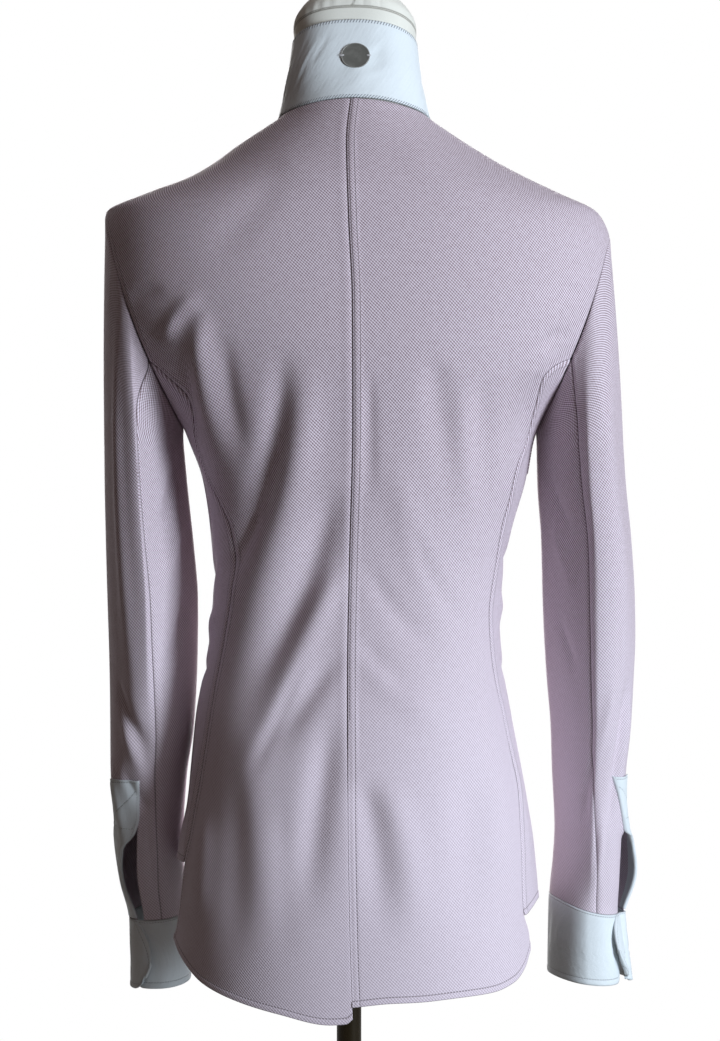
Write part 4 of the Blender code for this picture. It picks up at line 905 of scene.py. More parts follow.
def dark_bronze():
    look = Look("dark_bronze", (0.0115, 0.0070, 0.0012), 0.50, 0.25)
    look.set(look.shader, Specular_IOR_Level=0.12)
    place = look.place()
    stretched = look.tree.nodes.new("ShaderNodeVectorMath")
    stretched.operation = "MULTIPLY"
    look.join(place, stretched.inputs[0])
    stretched.inputs[1].default_value = (1.0, 1.0, 0.08)
    brushed = look.noise(stretched.outputs[0], 900.0, 3.0)
    worn = look.noise(place, 22.0, 4.0, 0.6)
    look.shade(look.band(worn, 0.55, 0.78, 0.0, 0.4), (0.028, 0.017, 0.003))
    look.rough(brushed, 0.44, 0.60)
    look.bump(brushed, 0.00008, 0.5)
    return look.made


def pearl():
    look = Look("button_pearl", (0.800, 0.790, 0.760), 0.22)
    look.set(look.shader, Coat_Weight=0.3)
    place = look.place()
    cloud = look.noise(place, 420.0, 4.0, 0.6)
    look.shade(look.band(cloud, 0.42, 0.7, 0.0, 0.45), (0.58, 0.60, 0.62))
    look.rough(cloud, 0.16, 0.32)
    return look.made


def badge_metal():
    look = Look("badge_satin", (0.085, 0.086, 0.080), 0.46, 0.4)
    look.set(look.shader, Specular_IOR_Level=0.3)
    place = look.place()
    grain = look.noise(place, 1500.0, 3.0, 0.6)
    look.shade(look.band(look.attribute("seam").outputs["Fac"], 0.0, 1.0, 0.0, 0.8), (0.24, 0.24, 0.23))
    look.shade(look.band(look.noise(place, 160.0, 3.0), 0.45, 0.75, 0.0, 0.35), (0.17, 0.17, 0.16))
    look.rough(grain, 0.30, 0.46)
    look.bump(grain, 0.00010, 0.5)
    return look.made


def thread():
    look = Look("button_thread", (0.72, 0.70, 0.70), 0.8)
    place = look.place()
    look.shade(look.band(look.noise(place, 2600.0, 2.0), 0.45, 0.6, 0.0, 0.6), (0.42, 0.40, 0.40))
    return look.made


def button_hole_shade():
    # A near-black disc of painted shade, where a button's hole shows the dark inside it.
    look = Look("button_hole_shade", (0.05, 0.045, 0.045), 0.9)
    look.shade(look.band(look.noise(look.place(), 2400.0, 2.0), 0.4, 0.7, 0.0, 0.5), (0.12, 0.11, 0.11))
    return look.made


SHIRT, WHITE, FORM, BRONZE = shirt_cloth(), white_cotton(), form_cloth(), dark_bronze()
PEARL, BADGE, THREAD, HOLE_SHADE = pearl(), badge_metal(), thread(), button_hole_shade()


# Making


def lengths(point, axis):
    """The distance along the grid from its first row or column."""
    step = np.linalg.norm(np.diff(point, axis=axis), axis=-1)
    pad = np.zeros(point.shape[:2][1 - axis])
    return np.concatenate([np.expand_dims(pad, axis), np.cumsum(step, axis=axis)], axis=axis)


def normals(point, outward):
    """The grid's own directions, turned to the side given by one of them."""
    across, up = np.gradient(point, axis=1), np.gradient(point, axis=0)
    return unit(np.cross(across, up)) * outward


EDGE = np.array([0, 0.0005, 0.0012, 0.002, 0.003, 0.004, 0.005, 0.006, 0.0072, 0.0086])


def spaced(length, cell, first=True, last=True):
    """Shares along a length, in cells of a size, with finer cells at the ends."""
    low = EDGE / length if first else np.array([0.0])
    high = 1 - EDGE[::-1] / length if last else np.array([1.0])
    count = max(int((high[0] - low[-1]) * length / cell), 2)
    return np.concatenate([low, np.linspace(low[-1], high[0], count + 1)[1:-1], high])


class Edges:
    """How far each point of a grid lies from its four edges, in metres."""

    def __init__(self, point):
        across, up = lengths(point, 1), lengths(point, 0)
        self.start, self.end = across, across[:, -1:] - across
        self.hem, self.top = up, up[-1:, :] - up


def add_piece(name, node, mesh, materials):
    made = bpy.data.objects.new(name, mesh)
    bpy.context.scene.collection.objects.link(made)
    for material in materials:
        mesh.materials.append(material)
    mesh.shade_smooth()
    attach(made, "root")
    if node:
        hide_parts(node)
    return made


def grid_mesh(name, point, outward, uv=None, held=None, slit=None, close=False):
    """A bmesh grid laid on an array of points, facing outwards, with its UVs and attributes."""
    rows, columns = point.shape[:2]
    shape = bmesh.new()
    bmesh.ops.create_grid(shape, x_segments=columns - 1, y_segments=rows - 1, size=1)
    if uv is not None:
        shape.loops.layers.uv.new("cloth")
    mesh = bpy.data.meshes.new(name)
    shape.to_mesh(mesh)
    shape.free()
    flat = np.empty(rows * columns * 3)
    mesh.vertices.foreach_get("co", flat)
    flat = flat.reshape(-1, 3)
    column = np.rint((flat[:, 0] + 1) / 2 * (columns - 1)).astype(int)
    row = np.rint((flat[:, 1] + 1) / 2 * (rows - 1)).astype(int)
    mesh.vertices.foreach_set("co", point[row, column].ravel())
    if uv is not None:
        corner = np.empty(len(mesh.loops), int)
        mesh.loops.foreach_get("vertex_index", corner)
        mesh.uv_layers["cloth"].uv.foreach_set("vector", uv[row, column][corner].ravel())
    for key, values in (held or {}).items():
        kind, field = ("FLOAT", "value") if values.ndim == 2 else ("FLOAT_COLOR", "color")
        layer = mesh.attributes.new(key, kind, "POINT")
        layer.data.foreach_set(field, values[row, column].astype(float).ravel())
    mesh.update()
    shape = bmesh.new()
    shape.from_mesh(mesh)
    if slit is not None:
        shape.verts.ensure_lookup_table()
        near = [shape.verts[i] for i in np.flatnonzero((column == slit) | (column == slit + 1))]
        touched = {f for v in near for f in v.link_faces}
        cells = [f for f in touched if all(column[w.index] in (slit, slit + 1) for w in f.verts)]
        bmesh.ops.delete(shape, geom=cells, context="FACES_ONLY")
        bmesh.ops.remove_doubles(shape, verts=near, dist=2e-5)
    if close:
        bmesh.ops.remove_doubles(shape, verts=shape.verts, dist=1e-6)
    facing = normals(point, outward)
    shape.faces.ensure_lookup_table()
    shape.normal_update()
    middle = shape.faces[len(shape.faces) // 2]
    spot = np.array(middle.calc_center_median())
    nearest = np.argmin(np.linalg.norm(point.reshape(-1, 3) - spot, axis=1))
    if np.dot(np.array(middle.normal), facing.reshape(-1, 3)[nearest]) < 0:
        bmesh.ops.reverse_faces(shape, faces=shape.faces)
    shape.to_mesh(mesh)
    shape.free()
    return mesh


def cloth(
    node, point, outward, material, wall, u, v, relief, sewn,
    slit=None, whip=None, faded=0.0,
):
    """One cut piece of cloth with its wall, its relief and its rows of stitches."""
    edges = Edges(point)
    point = point + normals(point, outward) * relief(edges)[..., None]
    lines = [np.broadcast_to(line(edges), point.shape[:2]) for line in sewn]
    while len(lines) < 4:
        lines.append(np.full(point.shape[:2], FAR))
    # The seam attribute carries the painted seam shade, which faded pushes away from the start edge.
    nearest = np.minimum(np.minimum(edges.start + faded, edges.end), np.minimum(edges.hem, edges.top))
    attributes = {"stitch": np.stack(lines, axis=-1), "seam": nearest}
    attributes["whip"] = np.full(point.shape[:2], FAR) if whip is None else whip(edges)
    uv = np.stack(np.broadcast_arrays(u, v), axis=-1)
    mesh = grid_mesh("cloth_" + node, point, outward, uv, attributes, slit)
    made = add_piece("cloth_" + node, node, mesh, [material])
    shell = made.modifiers.new("wall", "SOLIDIFY")
    shell.thickness, shell.offset = wall, -1
    shell.use_even_offset = False


def row_level(point):
    """One length for each row of a sleeve, from its foot."""
    return -lengths(point, 0).mean(axis=1)[:, None]


def ditch(distance):
    """A seam sinks at its edge, and the turned cloth under it lifts the strip beside it."""
    return -0.0006 * bell(distance, 0.0010) + 0.00035 * bell(distance - 0.0042, 0.0028)


def turned_hem(distance, depth=0.0050, lift=0.0005):
    """A hem turned up once, with its row of stitches pressed in."""
    pressed = 0.0003 * bell(distance - depth + 0.0006, 0.0007)
    return lift * smooth((depth + 0.0004 - distance) / 0.0012) - pressed


def face_length(face):
    """The cloth's length up the middle of the back or front, for each height."""
    z = np.linspace(0.70, 1.404, 353)
    depth = TORSO_AT[face](z)
    return spline(z[::8], np.concatenate([[0], np.cumsum(np.hypot(np.diff(z), np.diff(depth)))])[::8])


FACE_LENGTH = {face: face_length(face) for face in ("back", "front")}


def outer_edge(side, face, v, z):
    """The side angle of a back's or front's outer edge: its side seam, its armhole, its shoulder seam."""
    seam = side_back_angle(side, z) if face == "back" else side_front_angle(side, z)
    top = ARMHOLE[side]["top_z"]
    hole = armhole_side_angle(side, face, np.minimum(z, top))
    return np.where(v <= 1, seam, np.where(v <= 2, hole, shoulder_angle(side, z)))


def panel_grid(side, face):
    """A back or front: shares from its centre, then up to armhole (1), shoulder (2) and neck (3)."""
    meet = SIDE_BACK_TOP[side] if face == "back" else FRONT_ARM_Z
    top = ARMHOLE[side]["top_z"]
    low = spaced(meet - 0.72, 0.0030, True, False)
    v = np.concatenate([low, 1 + np.linspace(0, 1, 40)[1:], 2 + spaced(0.09, 0.0028, False, True)[1:]])
    u = spaced(0.150, 0.0026)
    u, v = np.meshgrid(u, v)
    centre = pi / 2 if face == "back" else -pi / 2
    high = neck_z(mix(centre, -SHOULDER_SEAM, u))
    z = np.where(v < 1, mix(HEM_AT[face, side](u), meet, v), mix(meet, top, v - 1))
    z = np.where(v < 2, z, mix(top, high, v - 2))
    middle = centre_back_angle(side, z) if face == "back" else -pi / 2
    sign = 1 if face == "back" else -1
    gap = SEAM_GAP * (mix(0.15, 1.0, smooth((z - 0.84) / 0.08)) if face == "back" else 1.0)
    start = middle - sign * gap / 2 / 0.1
    end = outer_edge(side, face, v, z) + sign * SEAM_GAP / 2 / half_width(side, z)
    return v, z, torso_point(around_from(side, mix(start, end, u)), z)


def body_panels():
    for side, word in SIDES:
        for face in ("back", "front"):
            v, z, point = panel_grid(side, face)
            outward = -side if (face == "back") else side
            across = lengths(point, 1) * side
            welt = face == "back" and side == RIGHT

            def relief(e, z=z, welt=welt, face=face):
                height = ditch(e.end) + turned_hem(e.hem) + ditch(e.top) * 0.6
                if welt:
                    lift = WELT_LIFT * smooth((WELT_WIDTH - e.start) / 0.0012)
                    lift = lift * mix(0.15, 1.0, smooth((z - 0.85) / 0.09))
                    sink = WELT_LIFT * bell(e.start, 0.0007) * (0.1 + 0.9 * smooth((z - 0.86) / 0.10))
                    height += lift - sink
                    height -= 0.0003 * (bell(e.start - 0.0015, 0.0005) + bell(e.start - 0.0055, 0.0005))
                else:
                    sunk = 0.1 + 0.6 * smooth((z - 0.86) / 0.10) if face == "back" else 0.2
                    height += ditch(e.start) * sunk
                return height

            lines = [
                lambda e, welt=welt: e.start - 0.0055 if welt else e.end - SEAM_ROW,
                lambda e, welt=welt, z=z: np.where(z > 0.93, e.start - 0.0014, FAR) if welt else FAR,
                lambda e: e.hem - HEM_ROW,
                lambda e, v=v: np.where(v > 2, e.end - 0.0016, FAR),
            ]
            # Lower down the back, the painted shade of the centre-back seam fades away.
            faded = 0.006 * smooth((0.92 - z) / 0.08) * (face == "back")
            cloth(
                f"{face}_{word}", point, outward, SHIRT, CLOTH, across, FACE_LENGTH[face](z), relief, lines,
                faded=faded,
            )
        side_panel(side, word)


def side_panel(side, word):
    """The side panel: u runs from the side-front seam to the side-back seam, under the armhole."""
    front = cap_angle(side, "front", FRONT_ARM_Z) - tau
    back = cap_angle(side, "back", SIDE_BACK_TOP[side])
    hole = ARMHOLE[side]
    u, v = np.meshgrid(spaced(0.120, 0.0028), spaced(0.36, 0.0030))
    phi = mix(front, back, u)
    top = mix(hole["under_z"], hole["top_z"], (1 - np.cos(phi)) / 2)
    meet = np.where(phi >= 0, armhole_side_angle(side, "back", top), armhole_side_angle(side, "front", top))
    low, high = side_front_angle(side, top), side_back_angle(side, top)
    inside = np.clip((meet - low) / np.maximum(high - low, 1e-9), 0, 1)
    share = np.where((u > 0) & (u < 1), mix(u, inside, v**2), u)
    z = mix(HEM_AT["side", side](u), top, v)
    inset = SEAM_GAP / 2 / half_width(side, z)
    alpha = mix(side_front_angle(side, z) + inset, side_back_angle(side, z) - inset, share)
    point = torso_point(around_from(side, alpha), z)
    across = lengths(point, 1)

    def relief(e):
        return ditch(e.start) + ditch(e.end) + turned_hem(e.hem) + ditch(e.top)

    lines = [lambda e: e.end - SEAM_ROW, lambda e: e.start - SEAM_ROW, lambda e: e.hem - HEM_ROW]
    cloth(
        f"side_{word}", point, side, SHIRT, CLOTH, across, z, relief, lines,
    )


def front_band():
    """The band that closes the fronts."""
    share = 0.11
    rim = EDGE[:7] / 0.015
    columns = np.concatenate([-1 + rim, np.linspace(-0.55, 0.55, 9), 1 - rim[::-1]])
    u, level = np.meshgrid(columns, np.linspace(0, 1, 200))
    z = mix(0.7475, 1.3465, level)
    grids = {}
    for side in (LEFT, RIGHT):
        top = ARMHOLE[side]["top_z"]
        seam = side_front_angle(side, np.minimum(z, FRONT_ARM_Z))
        hole = armhole_side_angle(side, "front", np.minimum(z, top))
        edge = np.where(z <= FRONT_ARM_Z, seam, shoulder_angle(side, z))
        edge = np.where((z > FRONT_ARM_Z) & (z <= top), hole, edge)
        grids[side] = torso_point(around_from(side, mix(-pi / 2, edge, share * np.abs(u))), z)
    point = np.where((u > 0)[..., None], grids[LEFT], grids[RIGHT])
    point = point + normals(point, 1) * 0.0015

    def relief(e):
        sink = bell(e.start - BAND_ROW, 0.0008) + bell(e.end - BAND_ROW, 0.0008)
        return -0.0004 * sink - 0.0003 * bell(e.start, 0.0008) - 0.0003 * bell(e.end, 0.0008)

    lines = [lambda e: e.start - BAND_ROW, lambda e: e.end - BAND_ROW]
    cloth(
        "front_placket", point, 1, SHIRT, CLOTH, lengths(point, 1), FACE_LENGTH["front"](z), relief, lines,
    )


def sleeve_phi(side, u, drop):
    """Columns of the upper sleeve: to 1 behind the slit, to 2 the placket, to 3 up to the front seam."""
    z = mix(SLEEVE_TOP[side], SLEEVE_END, np.maximum(drop - 1, 0))
    inset = SEAM_GAP / 2 / 0.05
    start, end = back_seam_angle(side, drop) + inset, front_seam_angle(side, drop) - inset
    line = np.radians(SLIT_AT[side]["line"](z))
    edge = line + np.radians(SLIT_AT[side]["front_turn"](z))
    arc = radians(PLACKET_ARC[side])
    behind = mix(start, line - np.radians(SLIT_AT[side]["back_turn"](z)), np.minimum(u / 0.999, 1))
    return np.where(u < 1, behind, np.where(u <= 2, edge + (u - 1) * arc, mix(edge + arc, end, u - 2)))


def sleeves():
    for side, word in SIDES:
        drop = np.concatenate([np.linspace(0, 1, 46)[:-1], 1 + spaced(0.37, 0.0030, False, True)])
        drop[1:4] = (0.004, 0.010, 0.018)
        behind = spaced(0.045, 0.0026, True, False) * 0.999
        ahead = 2 + spaced(0.080, 0.0026, False, True)[1:]
        columns = np.concatenate([behind, np.linspace(1, 2, 14), ahead])
        u, d = np.meshgrid(columns, drop)
        point = sleeve_point(side, sleeve_phi(side, u, d), d)

        def relief(e):
            return ditch(e.start) + ditch(e.end) + ditch(e.hem)

        cloth(
            f"sleeve_upper_{word}", point, side, SHIRT, CLOTH, lengths(point, 1) * side, row_level(point),
            relief, [],
            slit=len(behind) - 1,
        )
        u, d = np.meshgrid(spaced(0.120, 0.0028), drop)
        inset = SEAM_GAP / 2 / 0.05
        phi = mix(front_seam_angle(side, d) - tau + inset, back_seam_angle(side, d) - inset, u)
        point = sleeve_point(side, phi, d)
        cloth(
            f"sleeve_under_{word}", point, side, SHIRT, CLOTH, lengths(point, 1) * side, row_level(point),
            relief, [],
        )
        cuff(side, word)
        placket(side, word)


# Creases of each cuff: its length from the outer end, and the share of its depth.
CUFF_CREASES = (
    (0.030, 0.006, 0.036, 0.026, 0.034, 0.048, 0.0050, -0.0010),
    (0.058, 0.004, 0.060, 0.024, 0.066, 0.046, 0.0060, 0.0009),
    (0.092, 0.008, 0.096, 0.026, 0.094, 0.046, 0.0050, -0.0008),
    (0.126, 0.004, 0.122, 0.024, 0.128, 0.048, 0.0060, 0.0009),
    (0.158, 0.008, 0.160, 0.028, 0.156, 0.046, 0.0050, -0.0009),
    (0.184, 0.006, 0.180, 0.026, 0.186, 0.048, 0.0040, 0.0007),
)


def cuff_spot(side, u, v):
    """The open cuff: u runs from its outer end round the front and the inside to its under end."""
    top, middle, foot = CUFF_END[side]
    end = (1 - v) * (1 - 2 * v) * top + 4 * v * (1 - v) * middle + v * (2 * v - 1) * foot
    phi = np.radians(mix(end, middle + 360 + CUFF_UNDERLAP[side], u))
    stand = mix(CUFF_STAND * mix(0.25, 1.0, smooth(v * 1.8)), CUFF_OFF, smooth(u * 4.5))
    from_end = np.minimum(u, 1 - u) * CUFF_GIRTH
    inside = np.maximum(CUFF_CORNER**2 - (CUFF_CORNER - np.minimum(from_end, CUFF_CORNER)) ** 2, 0)
    z = mix(SLEEVE_END - SEAM_GAP, CUFF_BOTTOM[side] + CUFF_CORNER - inside**0.5, v)
    point = sleeve_ring(side, phi, z)
    along = sleeve_ring(side, phi + 2e-3, z) - sleeve_ring(side, phi - 2e-3, z)
    flat = unit(np.stack([-along[..., 1], along[..., 0], 0 * z], axis=-1)) * side
    return point + flat * stand[..., None], flat


def cuff(side, word):
    u, v = np.meshgrid(spaced(0.21, 0.0014), np.linspace(0, 1, 40))
    point = cuff_spot(side, u, v)[0]

    def relief(e):
        crumple = crease_height(CUFF_CREASES, e.start, e.hem)
        press = bell(e.top - 0.0048, 0.0006) + bell(e.hem - 0.0016, 0.0006) + bell(e.start - 0.0040, 0.0006)
        return crumple - 0.00025 * press + 0.0002 * bell(e.top - 0.0022, 0.0018)

    lines = [
        lambda e: e.start - 0.0040,
        lambda e: e.end - 0.0040,
        lambda e: np.where(e.top < 0.02, e.top - 0.0048, e.hem - 0.0016),
    ]
    cloth(
        f"cuff_{word}", point, side, WHITE, STARCHED, lengths(point, 1), -lengths(point, 0), relief, lines,
    )


def placket(side, word):
    """The white binding of the slit's front edge: it wraps the edge, with a short turning inside."""
    first = 2 - (PLACKET_TOP - SLEEVE_END) / (SLEEVE_TOP[side] - SLEEVE_END)
    turning = np.linspace(-0.34, -0.05, 8)
    fold = np.linspace(-0.035, 0.035, 7)
    s = np.concatenate([turning, fold, 0.05 + 0.95 * spaced(0.031, 0.0020, False, True)])
    s, d = np.meshgrid(s, mix(first, 1.9965, spaced(0.112, 0.0018)))
    phi = sleeve_phi(side, 1 + np.abs(s), d)
    point = sleeve_point(side, phi, d)
    round_edge = np.clip(s / 0.035, -1, 1)
    plain = 1 + np.linspace(0, 1, s.shape[1])[None, :] + 0 * s
    facing = normals(sleeve_point(side, sleeve_phi(side, plain, d), d), side)
    facing = np.where((s < 0.05)[..., None], facing[:, :1], normals(point, side))
    towards = unit(sleeve_point(side, phi - 0.02, d) - sleeve_point(side, phi + 0.02, d))
    stand = np.where(round_edge < 0, 0.0019, 0.0015)[..., None]
    point = point + facing * stand * np.sin(round_edge * pi / 2)[..., None]
    point = point + towards * (0.0012 * np.cos(round_edge * pi / 2))[..., None]
    edge = int(np.argmin(np.abs(s[0])))

    def from_fold(e):
        return e.start - e.start[:, edge:edge + 1]

    def slant(e):
        return (e.hem - 0.021) * 0.72 - (from_fold(e) - 0.016) * 0.69

    def relief(e):
        press = bell(from_fold(e) - 0.0030, 0.0006) + bell(e.end - 0.0022, 0.0006)
        press = press + bell(e.hem - 0.0022, 0.0006)
        press = press + bell(e.hem - 0.040, 0.0007) + bell(slant(e), 0.0007) * (e.hem < 0.040)
        return -0.0003 * press * (s > 0.06)

    outer = s > 0.04
    lines = [
        lambda e: np.where(outer, from_fold(e) - 0.0030, FAR),
        lambda e: np.where(outer, e.end - 0.0022, FAR),
        lambda e: np.where(outer, np.where(e.hem < 0.012, e.hem - 0.0022, e.hem - 0.040), FAR),
        lambda e: np.where(outer & (e.hem < 0.040), slant(e), FAR),
    ]
    cloth(
        f"cuff_placket_{word}", point, side, WHITE, CLOTH, lengths(point, 1), -lengths(point, 0),
        relief, lines,
    )


def collar_spot(theta, v):
    """The collar's outer face, from the neckline at 0 to its upper edge at 1."""
    s, c = np.sin(theta), np.cos(theta)
    base = section_point(theta, neck_z(theta)) + np.array((0, 0, COLLAR_RISE))
    deep = (COLLAR_TOP["back"] + COLLAR_TOP["front"]) / 2
    middle = (COLLAR_TOP["back"] - COLLAR_TOP["front"]) / 2
    fall = COLLAR_TOP["fall"] * np.maximum(-s, 0) ** 1.3
    high = COLLAR_TOP["z"] + np.where(s > 0, COLLAR_TOP["rise"] * s, -fall)
    top = points(GARMENT_X + COLLAR_TOP["side"] * c, middle + deep * s, high)
    waist = (COLLAR_WAIST * np.sin(pi * np.clip(v, 0, 1)))[..., None]
    square = np.where(c > 0, 3.0, 2.4)
    fuller = (1 - np.abs(c) ** square) ** (1 / square) - np.abs(s)
    fuller = deep * fuller * (s > 0) * smooth(v * 1.7)
    point = mix(base, top, v[..., None]) - np.stack([c, s, 0 * s], axis=-1) * waist
    return point + points(0 * s, fuller, 0 * s)


def collar_facing(theta, v):
    around = collar_spot(theta + 2e-3, v) - collar_spot(theta - 2e-3, v)
    up = collar_spot(theta, np.minimum(v + 0.02, 1)) - collar_spot(theta, np.maximum(v - 0.02, 0))
    return unit(np.cross(around, up))


# Creases of the collar: the cloth round it from the centre front by way of the wearer's left, and up
# from its seam.
COLLAR_CREASES = (
    (0.116, 0.004, 0.114, 0.022, 0.117, 0.046, 0.0022, -0.0007),
    (0.122, 0.012, 0.121, 0.026, 0.123, 0.044, 0.0018, 0.0006),
    (0.128, 0.004, 0.127, 0.020, 0.130, 0.040, 0.0022, -0.0007),
    (0.136, 0.010, 0.134, 0.026, 0.136, 0.046, 0.0020, 0.0005),
    (0.143, 0.004, 0.142, 0.020, 0.144, 0.036, 0.0022, -0.0006),
    (0.125, 0.026, 0.1255, 0.040, 0.124, 0.054, 0.0016, -0.0004),
    (0.132, 0.020, 0.1325, 0.036, 0.131, 0.056, 0.0016, 0.0005),
    (0.139, 0.026, 0.1385, 0.040, 0.140, 0.058, 0.0016, -0.0004),
    (0.147, 0.020, 0.1475, 0.036, 0.149, 0.056, 0.0022, 0.0004),
    (0.151, 0.004, 0.150, 0.016, 0.152, 0.034, 0.0020, -0.0004),
    (0.156, 0.028, 0.157, 0.042, 0.155, 0.058, 0.0024, -0.0004),
    (0.196, 0.044, 0.206, 0.034, 0.214, 0.022, 0.0060, -0.0011),
    (0.188, 0.030, 0.200, 0.020, 0.214, 0.012, 0.0070, 0.0008),
    (0.060, 0.010, 0.056, 0.024, 0.060, 0.040, 0.0050, -0.0008),
    (0.268, 0.010, 0.264, 0.022, 0.268, 0.038, 0.0050, -0.0008),
)


def collar():
    end = COLLAR_OVERLAP / 360
    u, v = np.meshgrid(mix(-end, 1 + end, spaced(0.34, 0.0013)), np.linspace(0, 1, 48))
    theta = -pi / 2 + u * tau
    facing = collar_facing(theta, v)
    flat = unit(facing * np.array((1, 1, 0)))
    point = collar_spot(theta, v) + flat * (0.0026 * smooth((u - 0.85) / 0.1))[..., None]

    def relief(e):
        crumple = crease_height(COLLAR_CREASES, e.start, e.hem)
        press = bell(e.hem - 0.0022, 0.0006) + bell(e.top - 0.0024, 0.0006) + bell(e.end - 0.0030, 0.0006)
        ripple = 0.00012 * np.sin(e.start * 1900) * (bell(e.hem, 0.004) + bell(e.top, 0.004))
        return crumple - 0.00025 * press + ripple

    lines = [lambda e: e.end - 0.0030, lambda e: e.start - 0.0030]
    cloth(
        "collar", point, 1, WHITE, STARCHED, lengths(point, 1), lengths(point, 0), relief, lines,
        whip=lambda e: np.minimum(e.hem, e.top),
    )


def turned(name, node, profile, material, matrix=None, steps=48, seam=None):
    """A profile turned about the Z axis, then moved to its place."""
    shape = bmesh.new()
    verts = [shape.verts.new((x, 0, z)) for x, z in profile]
    edges = [shape.edges.new(pair) for pair in zip(verts, verts[1:])]
    bmesh.ops.spin(
        shape, geom=verts + edges, cent=(0, 0, 0), axis=(0, 0, 1), angle=tau, steps=steps, use_merge=True
    )
    bmesh.ops.remove_doubles(shape, verts=shape.verts, dist=1e-7)
    bmesh.ops.recalc_face_normals(shape, faces=shape.faces)
    if seam is not None:
        layer = shape.verts.layers.float.new("seam")
        for vert in shape.verts:
            vert[layer] = seam(vert.co)
    if matrix is not None:
        bmesh.ops.transform(shape, matrix=matrix, verts=shape.verts)
    mesh = bpy.data.meshes.new(name)
    shape.to_mesh(mesh)
    shape.free()
    add_piece(name, node, mesh, [material])
    mesh.set_sharp_from_angle(angle=radians(50))


def arc_profile(centre_x, centre_z, radius, first, last, count=6):
    """Points of an arc in a profile, by angles in degrees."""
    angles = [radians(mix(first, last, i / count)) for i in range(count + 1)]
    return [(centre_x + radius * cos(angle), centre_z + radius * sin(angle)) for angle in angles]


def thread_bar(name, matrix, spot, size):
    """A bar of thread that sews a button or a badge down."""
    shape = bmesh.new()
    for vert in bmesh.ops.create_uvsphere(shape, u_segments=14, v_segments=8, radius=1)["verts"]:
        vert.co = Vector(spot) + Vector([a * b for a, b in zip(vert.co, size)])
    bmesh.ops.transform(shape, matrix=matrix, verts=shape.verts)
    mesh = bpy.data.meshes.new(name)
    shape.to_mesh(mesh)
    shape.free()
    add_piece(name, None, mesh, [THREAD])


def button(node, seat, facing, radius, thick):
    """A round button with a rim, a hollow, four holes shown as dark discs of painted shade, and its thread.
    """
    turn = Vector(facing).to_track_quat("Z", "Y").to_matrix().to_4x4()
    matrix = Matrix.Translation(Vector(seat)) @ turn
    edge, dish = thick * 0.22, thick * 0.68
    profile = [(0, 0), (radius - edge, 0)] + arc_profile(radius - edge, edge, edge, -90, 0)
    profile += arc_profile(radius - edge, thick - edge, edge, 0, 90)
    profile += arc_profile(radius * 0.74, thick - edge * 0.9, edge * 0.9, 90, 180, 4)
    profile += [(radius * 0.62, dish), (radius * 0.3, dish * 0.98), (0, dish * 0.98)]
    turned("detail_" + node, node, profile, PEARL, matrix)
    reach = radius * 0.24
    # Each hole is a thin near-black disc of painted shade.
    for index, (x, y) in enumerate(((1, 1), (-1, 1), (-1, -1), (1, -1))):
        spot = matrix @ Matrix.Translation((x * reach, y * reach, dish))
        rim = [(0, 0.00006), (radius * 0.105, 0.00006), (radius * 0.125, 0.00001)]
        rim += [(radius * 0.125, -0.00012), (0, -0.00012)]
        turned(f"{node}_hole_{index + 1}", None, rim, HOLE_SHADE, spot, 16)
    for index, y in enumerate((1, -1)):
        bar = (reach * 1.12, radius * 0.075, radius * 0.055)
        thread_bar(f"{node}_thread_{index + 1}", matrix, (0, y * reach, dish + 0.00012), bar)


def fastenings():
    for index in range(7):
        node = f"front_button_{index + 1}"
        low, high = (np.array(corner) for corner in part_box(node))
        middle = (low + high) / 2
        z = np.array(middle[2])
        facing = section_normal(np.array(-pi / 2), z)
        seat = middle - facing * 0.0010
        button(node, seat, facing, 0.0052, 0.0020)
    for side, word in SIDES:
        spot, facing = cuff_spot(side, np.array([[0.97]]), np.array([[0.5]]))
        button(f"cuff_button_{word}", spot[0, 0] + facing[0, 0] * 0.0003, facing[0, 0], 0.0042, 0.0014)


def badge():
    """An oval badge, left bare: a raised rim round a shallow satin field."""
    theta, v = np.array([[radians(90.5)]]), np.array([[0.53]])
    facing = collar_facing(theta, v)[0, 0]
    seat = collar_spot(theta, v)[0, 0] + facing * 0.0002
    turn = Vector(facing).to_track_quat("Z", "Y").to_matrix().to_4x4()
    matrix = Matrix.Translation(Vector(seat)) @ turn @ Matrix.Diagonal((0.0110, 0.01025, 1, 1))
    profile = [(0, 0), (0.97, 0), (1.0, 0.0002), (1.0, 0.0006), (0.99, 0.0008), (0.97, 0.0009)]
    profile += [(0.95, 0.00088), (0.93, 0.00078), (0.92, 0.0007), (0.90, 0.00066)]
    profile += [(0.60, 0.00068), (0.30, 0.0007), (0, 0.0007)]
    rim = lambda co: float(smooth((np.hypot(co.x, co.y) - 0.92) / 0.03))
    turned("detail_badge", "badge", profile, BADGE, matrix, 72, rim)
    level = Matrix.Translation(Vector(seat)) @ turn
    sideways = turn.inverted() @ Vector((1, 0, 0))
    along, across = abs(sideways.x), abs(sideways.y)
    bar = (0.0019 * along + 0.0003 * across, 0.0019 * across + 0.0003 * along, 0.0004)
    for index, way in enumerate((1, -1)):
        for pair, rise in enumerate((0.0004, -0.0004)):
            spot = sideways * way * 0.0103
            shift = (spot.x + rise * across, spot.y + rise * along, 0.0010)
            thread_bar(f"badge_thread_{index * 2 + pair + 1}", level, shift, bar)


# How far the form's skin lies inside the torso's surface.
FORM_CLEAR_AT = spline(
    (0.790, 0.900, 1.000, 1.120, 1.200, 1.260, 1.305, 1.345, 1.400),
    (0.018, 0.016, 0.013, 0.012, 0.010, 0.0065, 0.0058, 0.0036, 0.0022),
)


